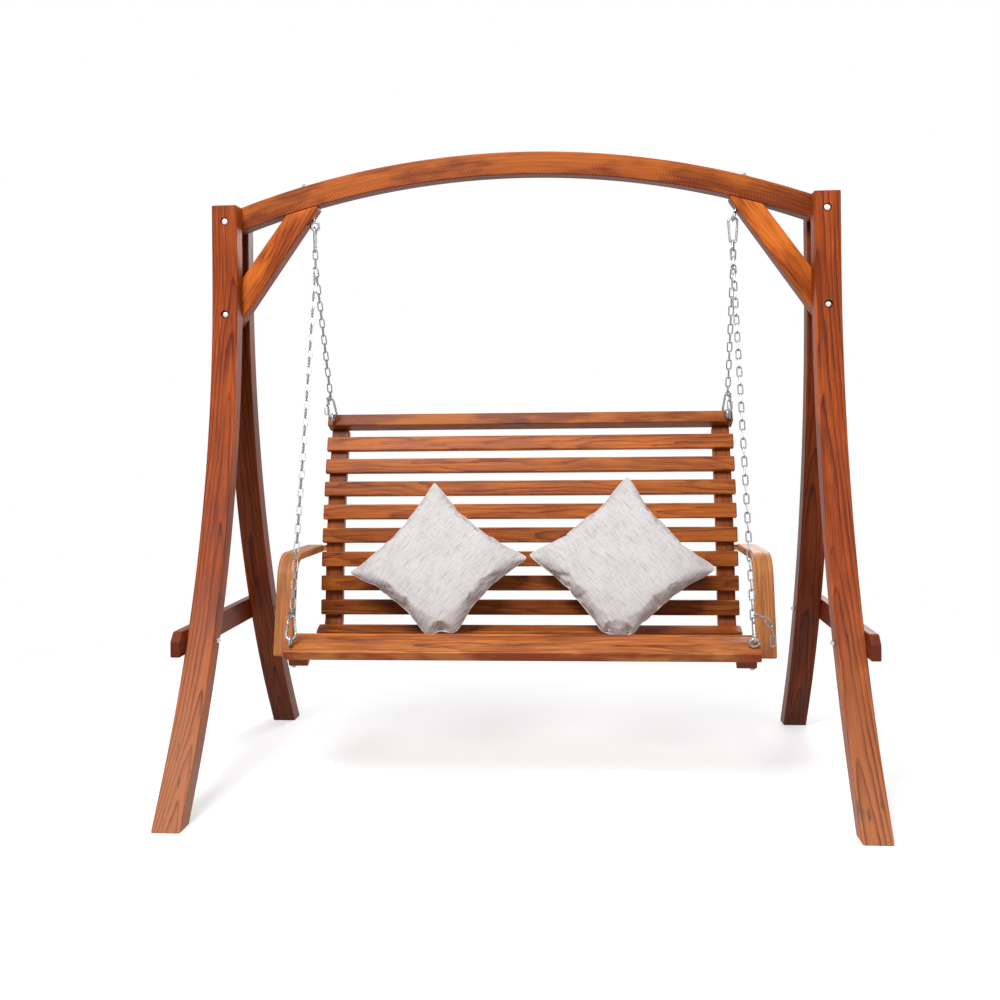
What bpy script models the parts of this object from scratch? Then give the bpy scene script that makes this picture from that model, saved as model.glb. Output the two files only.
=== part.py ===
"""Slatted swing bench hung by four chains in a wooden stand with curved legs.

Metres, +Z up, +X to the right of a sitter's view from the front, -Y to the front.
The origin lies on the floor under the middle of the stand.
"""
import math

import bmesh
import bpy
from mathutils import Matrix, Vector

# Fits and cuts
FIT_GAP = 0.0003
HOLE_CLEARANCE = 0.0006
OVERRUN = 0.004
NUT_GAP = 0.0005
EDGE_ROUND = 0.003
SHARP_ANGLE = math.radians(35)
BEVEL_ANGLE = math.radians(30)

# Curved legs
LEG_WIDTH = 0.075
LEG_DEPTH = 0.057
LEG_FACE_RADIUS = 2.300
LEG_ARC_END = 0.1041
LEG_ARC_STEPS = 14
POST_STRAIGHT = 0.193
POST_RISE = 0.01034
STAND_HALF_WIDTH = 0.905

# Arched cross beam, clamped between front and rear legs
BEAM_THICKNESS = 0.060
BEAM_HEIGHT = 0.066
BEAM_RADIUS = 2.485
BEAM_TOP = 1.808
BEAM_STEPS = 36

# Knee braces, in the plane of the beam
BRACE_TIP_REACH = 0.013
BRACE_TIP_DEPTH = 0.0094
BRACE_TIP_LENGTH = 0.094
BRACE_LOW_ANGLE = math.radians(54.937)
BRACE_HIGH_ANGLE = math.radians(53.990)
BRACE_TOP_STEPS = 3

# Through bolts at the top of the legs
BOLT_RADIUS = 0.005
BOLT_HEAD_RADIUS = 0.010
BOLT_HEAD_HEIGHT = 0.006
COUNTERBORE_RADIUS = 0.012
COUNTERBORE_DEPTH = 0.008
UPPER_BOLT_DROP = 0.0024
LOWER_BOLT_DROP = 0.002

# Side stretchers, on the outer faces of the legs
STRETCHER_THICKNESS = 0.027
STRETCHER_LOW_Z = 0.393
STRETCHER_HIGH_Z = 0.460
STRETCHER_OVERHANG = 0.0828
STRETCHER_CORNER = 0.024
STRETCHER_BOLT_RADIUS = 0.004
STRETCHER_HEAD_RADIUS = 0.009
STRETCHER_HEAD_HEIGHT = 0.0055
STRETCHER_NUT_RADIUS = 0.0085
STRETCHER_NUT_HEIGHT = 0.0065
STRETCHER_BOLT_SPARE = 0.004

# Eye bolts
EYE_WIRE_RADIUS = 0.004
EYE_RADIUS = 0.012
EYE_STANDOFF = 0.0012
EYE_STEPS = 12
EYE_SPARE = 0.004
NUT_RADIUS = 0.0085
NUT_HEIGHT = 0.0068
WASHER_RADIUS = 0.011
WASHER_HEIGHT = 0.0016
EYE_END_DISTANCE = 0.020
EYE_DROP = 0.12118

# Snap hooks
HOOK_WIRE_RADIUS = 0.0035
HOOK_WIDE_RADIUS = 0.013
HOOK_LENGTH_UPPER = 0.080
HOOK_LENGTH_LOWER = 0.070
HOOK_NARROW_UPPER = 0.009
HOOK_NARROW_LOWER = 0.0075
HOOK_PLAY = 0.0008
HOOK_NOSE = 0.004
HOOK_STUB = 0.004
HOOK_BEND_STEPS = 8
HOOK_NARROW_STEPS = 6
HOOK_TONGUE_THICKNESS = 0.0024
HOOK_TONGUE_LENGTH = 0.0058
GATE_RADIUS = 0.0034
GATE_PIN_SETBACK = 0.0028
GATE_HEEL = 0.0012
GATE_SLOT_WIDTH = 0.0032
GATE_SLOT_DEPTH = 0.0046
GATE_PLAY = 0.0006
SWING_AXIS_RISE = 0.005

# Chains
LINK_WIRE = 0.004
LINK_WIDTH = 0.017
LINK_PITCH = 0.0263
LINK_PLAY = 0.0005
LINK_SIDE_GAP = 0.0008
SHARED_LINKS = 2
FRONT_LINKS = 42
REAR_LINKS_LEFT = 18
REAR_LINKS_RIGHT = 17
FRONT_RIGHT_SPARE_COUNT = 4
REAR_RIGHT_SPARE_COUNT = 4
FRONT_LEFT_SPARE_COUNT = 2
REAR_LEFT_SPARE_COUNT = 3
MERGE_DISTANCE = 0.00001
TAIL_SETBACK = 0.0125
TAIL_DROOP = math.radians(34)

# Bench boards
BENCH_SIDE_ROOM = 0.268
SLAT_WIDTH = 0.046
SLAT_THICKNESS = 0.020
TOP_RAIL_HEIGHT = 0.038
TOP_RAIL_DEPTH = 0.050
FRONT_RAIL_WIDTH = 0.050
FRONT_RAIL_THICKNESS = 0.029
FRONT_RAIL_SETBACK = 0.012
BACK_SLATS = 8
SEAT_SLATS = 5

# Bent side frames: their face towards the sitter is the route below
FRAME_WIDTH = 0.054
FRAME_THICKNESS = 0.030
FRAME_INSET = 0.009
FRAME_FOOT_Y = 0.1358
FRAME_FOOT_Z = 0.4540
BACK_LEAN = math.radians(4)
BACK_RADIUS = 1.790
BACK_SLAT_PITCH = 0.0728
TOP_RAIL_PITCH = 0.0745
BACK_STEPS = 9
BEND_RUN = 0.020
BEND_RADIUS = 0.052
BEND_TURN = math.radians(68)
BEND_STEPS = 6
REAR_SLAT_RUN = 0.046
SCOOP_RADIUS = 0.150
SCOOP_TURN = math.radians(30)
SCOOP_STEPS = 4
SEAT_RUN = 0.183
CREST_RADIUS = 0.150
CREST_TURN = math.radians(19)
CREST_STEPS = 3
CREST_RUN = 0.030
NOSE_RADIUS = 0.040
NOSE_TURN = math.radians(21)
NOSE_STEPS = 2
NOSE_RUN = 0.038
SEAT_SLAT_PITCH = 0.0875
REAR_SLAT_FROM_FOOT = 0.1045

# Armrests
ARM_WIDTH = 0.055
ARM_THICKNESS = 0.022
ARM_SIDE_GAP = 0.001
ARM_FOOT_Y = -0.238
ARM_FOOT_Z = 0.3715
ARM_LEG_LEAN = math.radians(13)
ARM_LEG_LENGTH = 0.220
ARM_BEND_RADIUS = 0.080
ARM_BEND_STEPS = 6
ARM_DROP = math.radians(1)
ARM_LENGTH = 0.278
ARM_BLOCK_SINK = 0.002
ARM_FOOT_BLOCK_DEPTH = 0.030
ARM_REAR_BLOCK_DEPTH = 0.020
ARM_BLOCK_HEIGHT = 0.016

# Cushions
CUSHION_LEFT_SIZE_SHARE = 0.2983
CUSHION_RIGHT_SIZE_SHARE = 0.3093
CUSHION_THICKNESS = 0.120
CUSHION_DRAW_SHARE = 0.055
CUSHION_FULLNESS = 0.42
CUSHION_BLUNT_SHARE = 0.19
CUSHION_BLUNT_POWER = 4
CUSHION_CELLS = 14
CUSHION_LEFT_X_SHARE = -0.2072
CUSHION_RIGHT_X_SHARE = 0.2237
CUSHION_LEAN = math.radians(25)
CUSHION_ROLL_LEFT = math.radians(40)
CUSHION_ROLL_RIGHT = math.radians(49.6)
CUSHION_CENTRE_Y = 0.0505
CUSHION_Z_LEFT = 0.5920
CUSHION_Z_RIGHT = 0.5995

# Colours from the photograph
LEG_COLOUR = (0.52, 0.17, 0.055)
BEAM_COLOUR = (0.60, 0.22, 0.06)
STRETCHER_COLOUR = (0.22, 0.055, 0.022)
SLAT_COLOUR = (0.46, 0.14, 0.045)
FRONT_RAIL_COLOUR = (0.62, 0.30, 0.13)
FRAME_COLOUR = (0.42, 0.14, 0.045)
ARM_COLOUR = (0.64, 0.33, 0.13)
STEEL_COLOUR = (0.62, 0.62, 0.64)
CUSHION_COLOUR = (0.72, 0.70, 0.68)
WOOD_ROUGHNESS = 0.45
STEEL_ROUGHNESS = 0.30
CLOTH_ROUGHNESS = 0.90

LEFT = -1
RIGHT = 1
FRONT = -1
REAR = 1
X_AXIS = Vector((1, 0, 0))
Y_AXIS = Vector((0, 1, 0))
Z_AXIS = Vector((0, 0, 1))
SIDES = {"left": LEFT, "right": RIGHT}
HEXAGON = 6
OCTAGON = 8


def clear_scene():
    for old in list(bpy.data.objects):
        bpy.data.objects.remove(old, do_unlink=True)


def finish(obj, colour, roughness, metallic=0):
    """Give the piece its own plain material."""
    material = bpy.data.materials.new(obj.name)
    material.use_nodes = True
    shader = material.node_tree.nodes["Principled BSDF"]
    shader.inputs["Base Color"].default_value = (*colour, 1)
    shader.inputs["Roughness"].default_value = roughness
    shader.inputs["Metallic"].default_value = metallic
    obj.data.materials.clear()
    obj.data.materials.append(material)
    return obj


def add_object(name, bm, smooth=False):
    bmesh.ops.recalc_face_normals(bm, faces=bm.faces)
    if bm.calc_volume(signed=True) < 0:
        bmesh.ops.reverse_faces(bm, faces=bm.faces)
    mesh = bpy.data.meshes.new(name)
    bm.to_mesh(mesh)
    bm.free()
    if smooth:
        mesh.shade_smooth()
        mesh.set_sharp_from_angle(angle=SHARP_ANGLE)
    obj = bpy.data.objects.new(name, mesh)
    bpy.context.scene.collection.objects.link(obj)
    return obj


def apply_modifiers(obj):
    """Bake the modifier stack into the mesh."""
    bpy.context.view_layer.update()
    graph = bpy.context.evaluated_depsgraph_get()
    mesh = bpy.data.meshes.new_from_object(obj.evaluated_get(graph))
    obj.modifiers.clear()
    obj.data = mesh


def boolean(obj, tool, operation):
    """Cut or join with a tool object, then remove the tool."""
    modifier = obj.modifiers.new(operation.lower(), "BOOLEAN")
    modifier.operation = operation
    modifier.object = tool
    apply_modifiers(obj)
    bpy.data.objects.remove(tool, do_unlink=True)


def round_edges(obj, width=EDGE_ROUND):
    modifier = obj.modifiers.new("rounded edges", "BEVEL")
    modifier.width = width
    modifier.segments = 1
    modifier.limit_method = "ANGLE"
    modifier.angle_limit = BEVEL_ANGLE


def spread(first, second, axis, low, high):
    """A point pair at both depths of an extruded side outline."""
    if axis == "x":
        return Vector((low, first, second)), Vector((high, first, second))
    return Vector((first, low, second)), Vector((first, high, second))


def ribbon(name, one_edge, other_edge, axis, low, high):
    """A bar between two edges with the same number of points, extruded from low to high."""
    bm = bmesh.new()
    rings = []
    for one, other in zip(one_edge, other_edge):
        a_low, a_high = spread(one[0], one[1], axis, low, high)
        b_low, b_high = spread(other[0], other[1], axis, low, high)
        rings.append([bm.verts.new(p) for p in (a_low, a_high, b_high, b_low)])
    skin_rings(bm, rings)
    return add_object(name, bm)


def skin_rings(bm, rings, closed=False):
    """Join rings of vertices with quads, and cap both ends unless they close up."""
    count = len(rings[0])
    pairs = list(zip(rings, rings[1:]))
    if closed:
        pairs.append((rings[-1], rings[0]))
    for ring, following in pairs:
        for i in range(count):
            j = (i + 1) % count
            bm.faces.new((ring[i], ring[j], following[j], following[i]))
    if not closed:
        bm.faces.new(rings[0])
        bm.faces.new(list(reversed(rings[-1])))


def prism(name, outline, axis, low, high):
    """A plate with the given outline, extruded from low to high."""
    bm = bmesh.new()
    pairs = [spread(p[0], p[1], axis, low, high) for p in outline]
    near = [bm.verts.new(p[0]) for p in pairs]
    far = [bm.verts.new(p[1]) for p in pairs]
    skin_rings(bm, [near, far])
    return add_object(name, bm)


def board(name, length, width, thickness, centre, angle):
    """A rounded board along X, turned about X so that its width runs at the angle."""
    bm = bmesh.new()
    bmesh.ops.create_cube(bm, size=1)
    bmesh.ops.scale(bm, vec=(length, width, thickness), verts=bm.verts)
    obj = add_object(name, bm)
    obj.location = centre
    obj.rotation_euler = (angle, 0, 0)
    round_edges(obj)
    return obj


def turned_mesh(profile, sides):
    """A turned solid about Z from pairs of height and radius."""
    bm = bmesh.new()
    rings = []
    for height, radius in profile:
        ring = []
        for i in range(sides):
            angle = math.tau * (i + 0.5) / sides
            ring.append(bm.verts.new((radius * math.cos(angle), radius * math.sin(angle), height)))
        rings.append(ring)
    skin_rings(bm, rings)
    return bm


def axes_matrix(origin, x_axis, y_axis, z_axis):
    matrix = Matrix.Identity(4)
    for column, vector in enumerate((x_axis, y_axis, z_axis, origin)):
        for row in range(3):
            matrix[row][column] = vector[row]
    return matrix


def frame_along(origin, z_axis, x_hint):
    """A right-handed frame with its Z along a direction and its X near the hint."""
    z_axis = z_axis.normalized()
    y_axis = z_axis.cross(x_hint).normalized()
    return axes_matrix(origin, y_axis.cross(z_axis), y_axis, z_axis)


def turned(name, profile, sides, matrix):
    obj = add_object(name, turned_mesh(profile, sides), smooth=True)
    obj.matrix_world = matrix
    return obj


def drill(obj, start, direction, length, radius, sides=OCTAGON):
    """Cut a round hole from start along the direction."""
    profile = [(-OVERRUN, radius), (length + OVERRUN, radius)]
    cutter = turned("drill", profile, sides, frame_along(start, direction, unlike(direction)))
    cutter.hide_render = True
    cutter.display_type = "WIRE"
    boolean(obj, cutter, "DIFFERENCE")


def unlike(direction):
    """An axis that is well away from the direction."""
    return X_AXIS if abs(direction.normalized().dot(X_AXIS)) < math.cos(math.pi / 4) else Y_AXIS


class Route:
    """A route in the side plane made of straight runs and arcs, with its heading at each point."""

    def __init__(self, y, z, heading):
        self.points = [Vector((y, z))]
        self.headings = [heading]

    def run(self, length):
        heading = self.headings[-1]
        step = Vector((math.cos(heading), math.sin(heading))) * length
        self.points.append(self.points[-1] + step)
        self.headings.append(heading)

    def arc(self, radius, turn, steps):
        """Turn left by a positive angle, or right by a negative one."""
        side = math.copysign(1, turn)
        centre = self.offset(-1, side * radius)
        start = self.headings[-1]
        for i in range(1, steps + 1):
            heading = start + turn * i / steps
            out = Vector((math.sin(heading), -math.cos(heading))) * radius * side
            self.points.append(centre + out)
            self.headings.append(heading)

    def offset(self, index, distance):
        """A point to the left of the route, or to its right for a negative distance."""
        heading = self.headings[index]
        return self.points[index] + Vector((-math.sin(heading), math.cos(heading))) * distance

    def edge(self, distance):
        return [self.offset(i, distance) for i in range(len(self.points))]

    def at(self, distance):
        """The point this far along the route."""
        left = distance
        for a, b in zip(self.points, self.points[1:]):
            length = (b - a).length
            if left <= length:
                return a + (b - a) * left / length
            left -= length
        last = self.points[-1] - self.points[-2]
        return self.points[-1] + last.normalized() * left

    def between(self, low, high):
        walked = 0
        inner = []
        for a, b in zip(self.points, self.points[1:]):
            walked += (b - a).length
            if low < walked < high:
                inner.append(b)
        return inner

    def length(self):
        return sum((b - a).length for a, b in zip(self.points, self.points[1:]))


def rest_on(route, middle, width, side):
    """Where a flat board of this width lies on one side of the route: face centre and normal."""
    first = route.at(middle - width / 2)
    second = route.at(middle + width / 2)
    along = (second - first).normalized()
    normal = Vector((-along.y, along.x)) * side
    covered = route.between(middle - width / 2, middle + width / 2)
    bulge = max([0] + [(p - first).dot(normal) for p in covered])
    return (first + second) / 2 + normal * (bulge + FIT_GAP), normal


def angle_of(normal):
    """The turn about X that points a board's thickness along this side-plane normal."""
    return math.atan2(-normal.x, normal.y)


def side_to_space(x, point):
    return Vector((x, point.x, point.y))


# Stand

def beam_under(x):
    """Height of the beam's underside."""
    return BEAM_CENTRE.z + math.sqrt((BEAM_RADIUS - BEAM_HEIGHT) ** 2 - x * x)


def beam_over(x):
    return BEAM_CENTRE.z + math.sqrt(BEAM_RADIUS ** 2 - x * x)


def brace_low(x):
    """Height of the brace's lower edge."""
    return beam_under(BRACE_TIP_X) - BRACE_TIP_DEPTH - (x - BRACE_TIP_X) * math.tan(BRACE_LOW_ANGLE)


def brace_high(x):
    """Height of the brace's upper edge beyond its flat tip."""
    return beam_under(BRACE_HEEL_X) - NUT_GAP - (x - BRACE_HEEL_X) * math.tan(BRACE_HIGH_ANGLE)


SLAT_LENGTH = 2 * (STAND_HALF_WIDTH - BENCH_SIDE_ROOM)
CHAIN_X = SLAT_LENGTH / 2 - EYE_END_DISTANCE
BRACE_TIP_X = CHAIN_X - BRACE_TIP_REACH
BRACE_HEEL_X = BRACE_TIP_X + BRACE_TIP_LENGTH
BEAM_CENTRE = Z_AXIS * (BEAM_TOP - BEAM_RADIUS)
POST_CENTRE_X = STAND_HALF_WIDTH - LEG_WIDTH / 2
POST_TOP = beam_over(POST_CENTRE_X) + POST_RISE
LEG_ARC_TOP = POST_TOP - POST_STRAIGHT
LEG_SWEEP = math.asin((LEG_ARC_TOP - LEG_ARC_END) / LEG_FACE_RADIUS)
LEG_INNER_Y = BEAM_THICKNESS / 2 + FIT_GAP
UPPER_EYE_Z = beam_over(CHAIN_X) - EYE_DROP
UPPER_BOLT_Z = (beam_over(POST_CENTRE_X) + beam_under(POST_CENTRE_X)) / 2 - UPPER_BOLT_DROP
LOWER_BOLT_Z = (brace_low(POST_CENTRE_X) + brace_high(POST_CENTRE_X)) / 2 - LOWER_BOLT_DROP


def leg_edges(side):
    """Outer and inner edge of a leg in the side plane."""
    outer_top = LEG_INNER_Y + LEG_DEPTH
    route = Route(outer_top, LEG_ARC_TOP, -math.pi / 2)
    route.arc(LEG_FACE_RADIUS, LEG_SWEEP, LEG_ARC_STEPS)
    outer = [Vector((outer_top, POST_TOP))] + route.edge(0)
    inner = [Vector((LEG_INNER_Y, POST_TOP))] + route.edge(-LEG_DEPTH)
    heading = route.headings[-1]
    for edge in (outer, inner):
        last = edge[-1]
        edge.append(Vector((last.x - last.y * math.cos(heading) / math.sin(heading), 0)))
    return [[(side * p.x, p.y) for p in edge] for edge in (outer, inner)]


def leg_middle_y(z):
    """Distance of a leg's middle from the beam's plane at a height on its arc."""
    radius = LEG_FACE_RADIUS + LEG_DEPTH / 2
    centre_y = LEG_INNER_Y + LEG_DEPTH + LEG_FACE_RADIUS
    return centre_y - math.sqrt(radius ** 2 - (LEG_ARC_TOP - z) ** 2)


def build_leg(name, x_side, y_side):
    outer, inner = leg_edges(y_side)
    low = x_side * STAND_HALF_WIDTH
    high = x_side * (STAND_HALF_WIDTH - LEG_WIDTH)
    leg = ribbon(name, outer, inner, "x", low, high)
    round_edges(leg)
    apply_modifiers(leg)
    outward = Y_AXIS * y_side
    for z in (UPPER_BOLT_Z, LOWER_BOLT_Z):
        inside = Vector((x_side * POST_CENTRE_X, y_side * LEG_INNER_Y, z))
        drill(leg, inside, outward, LEG_DEPTH, BOLT_RADIUS + HOLE_CLEARANCE)
        floor = inside + outward * (LEG_DEPTH - COUNTERBORE_DEPTH + OVERRUN)
        drill(leg, floor, outward, COUNTERBORE_DEPTH, COUNTERBORE_RADIUS)
    start = Vector((high, y_side * leg_middle_y(stretcher_bolt_z()), stretcher_bolt_z()))
    drill(leg, start, X_AXIS * x_side, LEG_WIDTH, STRETCHER_BOLT_RADIUS + HOLE_CLEARANCE)
    return finish(leg, LEG_COLOUR, WOOD_ROUGHNESS)


def stretcher_bolt_z():
    return (STRETCHER_LOW_Z + STRETCHER_HIGH_Z) / 2


def stretcher_reach():
    """Half the length of a side stretcher."""
    return leg_middle_y(stretcher_bolt_z()) + STRETCHER_OVERHANG


def upper_eye_direction(x_side):
    """The upper eye bolts stand square to the arched beam."""
    return (upper_eye_centre(x_side) - BEAM_CENTRE).normalized()


def upper_eye_centre(x_side):
    return Vector((x_side * CHAIN_X, 0, UPPER_EYE_Z))


def build_beam():
    half = BEAM_THICKNESS / 2
    xs = [STAND_HALF_WIDTH * (2 * i / BEAM_STEPS - 1) for i in range(BEAM_STEPS + 1)]
    top = [(x, beam_over(x)) for x in xs]
    bottom = [(x, beam_under(x)) for x in xs]
    beam = ribbon("cross_beam", top, bottom, "y", -half, half)
    round_edges(beam)
    apply_modifiers(beam)
    for side in (LEFT, RIGHT):
        start = Vector((side * POST_CENTRE_X, -half, UPPER_BOLT_Z))
        drill(beam, start, Y_AXIS, BEAM_THICKNESS, BOLT_RADIUS + HOLE_CLEARANCE)
        eye = upper_eye_centre(side)
        reach = BEAM_RADIUS - (eye - BEAM_CENTRE).length
        drill(beam, eye, upper_eye_direction(side), reach, EYE_WIRE_RADIUS + HOLE_CLEARANCE)
    return finish(beam, BEAM_COLOUR, WOOD_ROUGHNESS)


def build_brace(name, side):
    half = BEAM_THICKNESS / 2
    outline = [(BRACE_TIP_X, brace_low(BRACE_TIP_X))]
    for i in range(BRACE_TOP_STEPS + 1):
        x = BRACE_TIP_X + (BRACE_HEEL_X - BRACE_TIP_X) * i / BRACE_TOP_STEPS
        outline.append((x, beam_under(x) - NUT_GAP))
    outline.append((STAND_HALF_WIDTH, brace_high(STAND_HALF_WIDTH)))
    outline.append((STAND_HALF_WIDTH, brace_low(STAND_HALF_WIDTH)))
    brace = prism(name, [(side * x, z) for x, z in outline], "y", -half, half)
    round_edges(brace)
    apply_modifiers(brace)
    start = Vector((side * POST_CENTRE_X, -half, LOWER_BOLT_Z))
    drill(brace, start, Y_AXIS, BEAM_THICKNESS, BOLT_RADIUS + HOLE_CLEARANCE)
    eye = upper_eye_centre(side)
    drill(brace, eye, upper_eye_direction(side), BEAM_HEIGHT, EYE_WIRE_RADIUS + HOLE_CLEARANCE)
    return finish(brace, LEG_COLOUR, WOOD_ROUGHNESS)


def build_leg_bolt(name, x_side, z):
    """A through bolt with its head in the front leg and its nut in the rear leg."""
    floor = LEG_INNER_Y + LEG_DEPTH - COUNTERBORE_DEPTH + FIT_GAP
    profile = [(-floor - BOLT_HEAD_HEIGHT, BOLT_HEAD_RADIUS),
               (-floor, BOLT_HEAD_RADIUS),
               (-floor, BOLT_RADIUS),
               (floor, BOLT_RADIUS),
               (floor, BOLT_HEAD_RADIUS),
               (floor + BOLT_HEAD_HEIGHT, BOLT_HEAD_RADIUS)]
    origin = Vector((x_side * POST_CENTRE_X, 0, z))
    bolt = turned(name, profile, OCTAGON, frame_along(origin, Y_AXIS, X_AXIS))
    return finish(bolt, STEEL_COLOUR, STEEL_ROUGHNESS, metallic=1)


def build_stretcher(name, side):
    inner_x = STAND_HALF_WIDTH + FIT_GAP
    reach = stretcher_reach()
    half = [(reach, STRETCHER_LOW_Z),
            (reach, STRETCHER_HIGH_Z - STRETCHER_CORNER),
            (reach - STRETCHER_CORNER, STRETCHER_HIGH_Z)]
    outline = half + [(-y, z) for y, z in reversed(half)]
    bar = prism(name, outline, "x", side * inner_x, side * (inner_x + STRETCHER_THICKNESS))
    round_edges(bar)
    apply_modifiers(bar)
    for y_side in (FRONT, REAR):
        z = stretcher_bolt_z()
        start = Vector((side * inner_x, y_side * leg_middle_y(z), z))
        drill(bar, start, X_AXIS * side, STRETCHER_THICKNESS, STRETCHER_BOLT_RADIUS + HOLE_CLEARANCE)
    return finish(bar, STRETCHER_COLOUR, WOOD_ROUGHNESS)


def build_stretcher_bolt(name, x_side, y_side):
    """Head outside the stretcher, nut on the leg's inner face."""
    grip = LEG_WIDTH + STRETCHER_THICKNESS + 3 * FIT_GAP
    profile = [(-STRETCHER_NUT_HEIGHT - STRETCHER_BOLT_SPARE, STRETCHER_BOLT_RADIUS),
               (-STRETCHER_NUT_HEIGHT, STRETCHER_BOLT_RADIUS),
               (-STRETCHER_NUT_HEIGHT, STRETCHER_NUT_RADIUS),
               (0, STRETCHER_NUT_RADIUS),
               (0, STRETCHER_BOLT_RADIUS),
               (grip, STRETCHER_BOLT_RADIUS),
               (grip, STRETCHER_HEAD_RADIUS),
               (grip + STRETCHER_HEAD_HEIGHT, STRETCHER_HEAD_RADIUS)]
    z = stretcher_bolt_z()
    inner_x = STAND_HALF_WIDTH - LEG_WIDTH - FIT_GAP
    origin = Vector((x_side * inner_x, y_side * leg_middle_y(z), z))
    bolt = turned(name, profile, OCTAGON, frame_along(origin, X_AXIS * x_side, Y_AXIS))
    return finish(bolt, STEEL_COLOUR, STEEL_ROUGHNESS, metallic=1)


def build_eye_bolt(name, centre, direction, ring_hint, grip_end, phase):
    """A ring with a shank, a washer and a nut beyond the clamped pieces.

    The ring lies in the plane of the direction and the hint, with a section at the phase angle.
    """
    nut_low = grip_end + WASHER_HEIGHT
    nut_high = nut_low + NUT_HEIGHT
    profile = [(EYE_RADIUS, EYE_WIRE_RADIUS),
               (grip_end, EYE_WIRE_RADIUS),
               (grip_end, WASHER_RADIUS),
               (nut_low, WASHER_RADIUS),
               (nut_low, NUT_RADIUS),
               (nut_high, NUT_RADIUS),
               (nut_high, EYE_WIRE_RADIUS),
               (nut_high + EYE_SPARE, EYE_WIRE_RADIUS)]
    matrix = frame_along(centre, direction, ring_hint)
    ring = add_object(name, ring_mesh(phase), smooth=True)
    shank = add_object("shank", turned_mesh(profile, HEXAGON), smooth=True)
    boolean(ring, shank, "UNION")
    ring.matrix_world = matrix
    return finish(ring, STEEL_COLOUR, STEEL_ROUGHNESS, metallic=1)


def ring_mesh(phase):
    """A round ring in the XZ plane with a section at the phase angle from +Z."""
    bm = bmesh.new()
    rings = []
    for i in range(EYE_STEPS):
        angle = phase + math.tau * i / EYE_STEPS
        out = Vector((math.sin(angle), 0, math.cos(angle)))
        section = []
        for k in range(HEXAGON):
            turn = math.tau * k / HEXAGON
            spot = out * (EYE_RADIUS + EYE_WIRE_RADIUS * math.cos(turn))
            section.append(bm.verts.new(spot + Y_AXIS * EYE_WIRE_RADIUS * math.sin(turn)))
        rings.append(section)
    skin_rings(bm, rings, closed=True)
    return bm


# Bench frame routes

def back_route():
    """The side frame's face from its foot up to the top rail."""
    route = Route(FRAME_FOOT_Y, FRAME_FOOT_Z, math.pi / 2 - BACK_LEAN)
    length = BACK_SLAT_PITCH * (BACK_SLATS - 1) + TOP_RAIL_PITCH - TOP_RAIL_HEIGHT / 2 - FIT_GAP
    route.arc(BACK_RADIUS, -length / BACK_RADIUS, BACK_STEPS)
    return route


def seat_route():
    """The side frame's face from its foot down the bend and forward to its front end."""
    route = Route(FRAME_FOOT_Y, FRAME_FOOT_Z, -math.pi / 2 - BACK_LEAN)
    route.run(BEND_RUN)
    route.arc(BEND_RADIUS, -BEND_TURN, BEND_STEPS)
    route.run(REAR_SLAT_RUN)
    route.arc(SCOOP_RADIUS, -SCOOP_TURN, SCOOP_STEPS)
    route.run(SEAT_RUN)
    route.arc(CREST_RADIUS, CREST_TURN, CREST_STEPS)
    route.run(CREST_RUN)
    route.arc(NOSE_RADIUS, NOSE_TURN, NOSE_STEPS)
    route.run(NOSE_RUN)
    return route


BACK = back_route()
SEAT = seat_route()
FRAME_OUTER_X = SLAT_LENGTH / 2 - FRAME_INSET


def front_rail_rest():
    """Middle of the front rail's underside, and its normal."""
    middle = SEAT.length() + FRONT_RAIL_SETBACK - FRONT_RAIL_WIDTH / 2
    return rest_on(SEAT, middle, FRONT_RAIL_WIDTH, -1)


def top_rail_place():
    """Centre of the top rail's end outline and the direction its height runs in."""
    end = BACK.headings[-1]
    along = Vector((math.cos(end), math.sin(end)))
    toward_sitter = Vector((-along.y, along.x))
    spot = BACK.points[-1] + along * (FIT_GAP + TOP_RAIL_HEIGHT / 2)
    return spot + toward_sitter * SLAT_THICKNESS / 2, along, toward_sitter


def build_side_frame(name, side):
    face = list(reversed(BACK.points)) + SEAT.points[1:]
    behind = list(reversed(BACK.edge(-FRAME_THICKNESS))) + SEAT.edge(FRAME_THICKNESS)[1:]
    low = side * FRAME_OUTER_X
    high = side * (FRAME_OUTER_X - FRAME_WIDTH)
    frame = ribbon(name, face, behind, "x", low, high)
    round_edges(frame)
    apply_modifiers(frame)
    spot, normal = front_rail_rest()
    start = side_to_space(side * CHAIN_X, spot)
    drill(frame, start, -side_to_space(0, normal), FRAME_THICKNESS, EYE_WIRE_RADIUS + HOLE_CLEARANCE)
    return finish(frame, FRAME_COLOUR, WOOD_ROUGHNESS)


def build_slat(name, centre, angle):
    slat = board(name, SLAT_LENGTH, SLAT_WIDTH, SLAT_THICKNESS, centre, angle)
    finish(slat, SLAT_COLOUR, WOOD_ROUGHNESS)
    hang(slat)


def build_back_slats():
    for i in range(BACK_SLATS):
        if i == 0:
            along = Vector((math.sin(BACK_LEAN), math.cos(BACK_LEAN)))
            normal = Vector((-along.y, along.x))
            spot = BACK.points[0] + normal * FIT_GAP
        else:
            spot, normal = rest_on(BACK, BACK_SLAT_PITCH * i, SLAT_WIDTH, 1)
        centre = side_to_space(0, spot + normal * SLAT_THICKNESS / 2)
        build_slat(f"back_slat_{BACK_SLATS - i}", centre, angle_of(normal))


def build_seat_slats():
    for i in range(SEAT_SLATS):
        spot, normal = rest_on(SEAT, REAR_SLAT_FROM_FOOT + SEAT_SLAT_PITCH * i, SLAT_WIDTH, -1)
        centre = side_to_space(0, spot + normal * SLAT_THICKNESS / 2)
        build_slat(f"seat_slat_{SEAT_SLATS - i}", centre, angle_of(normal))


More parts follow.
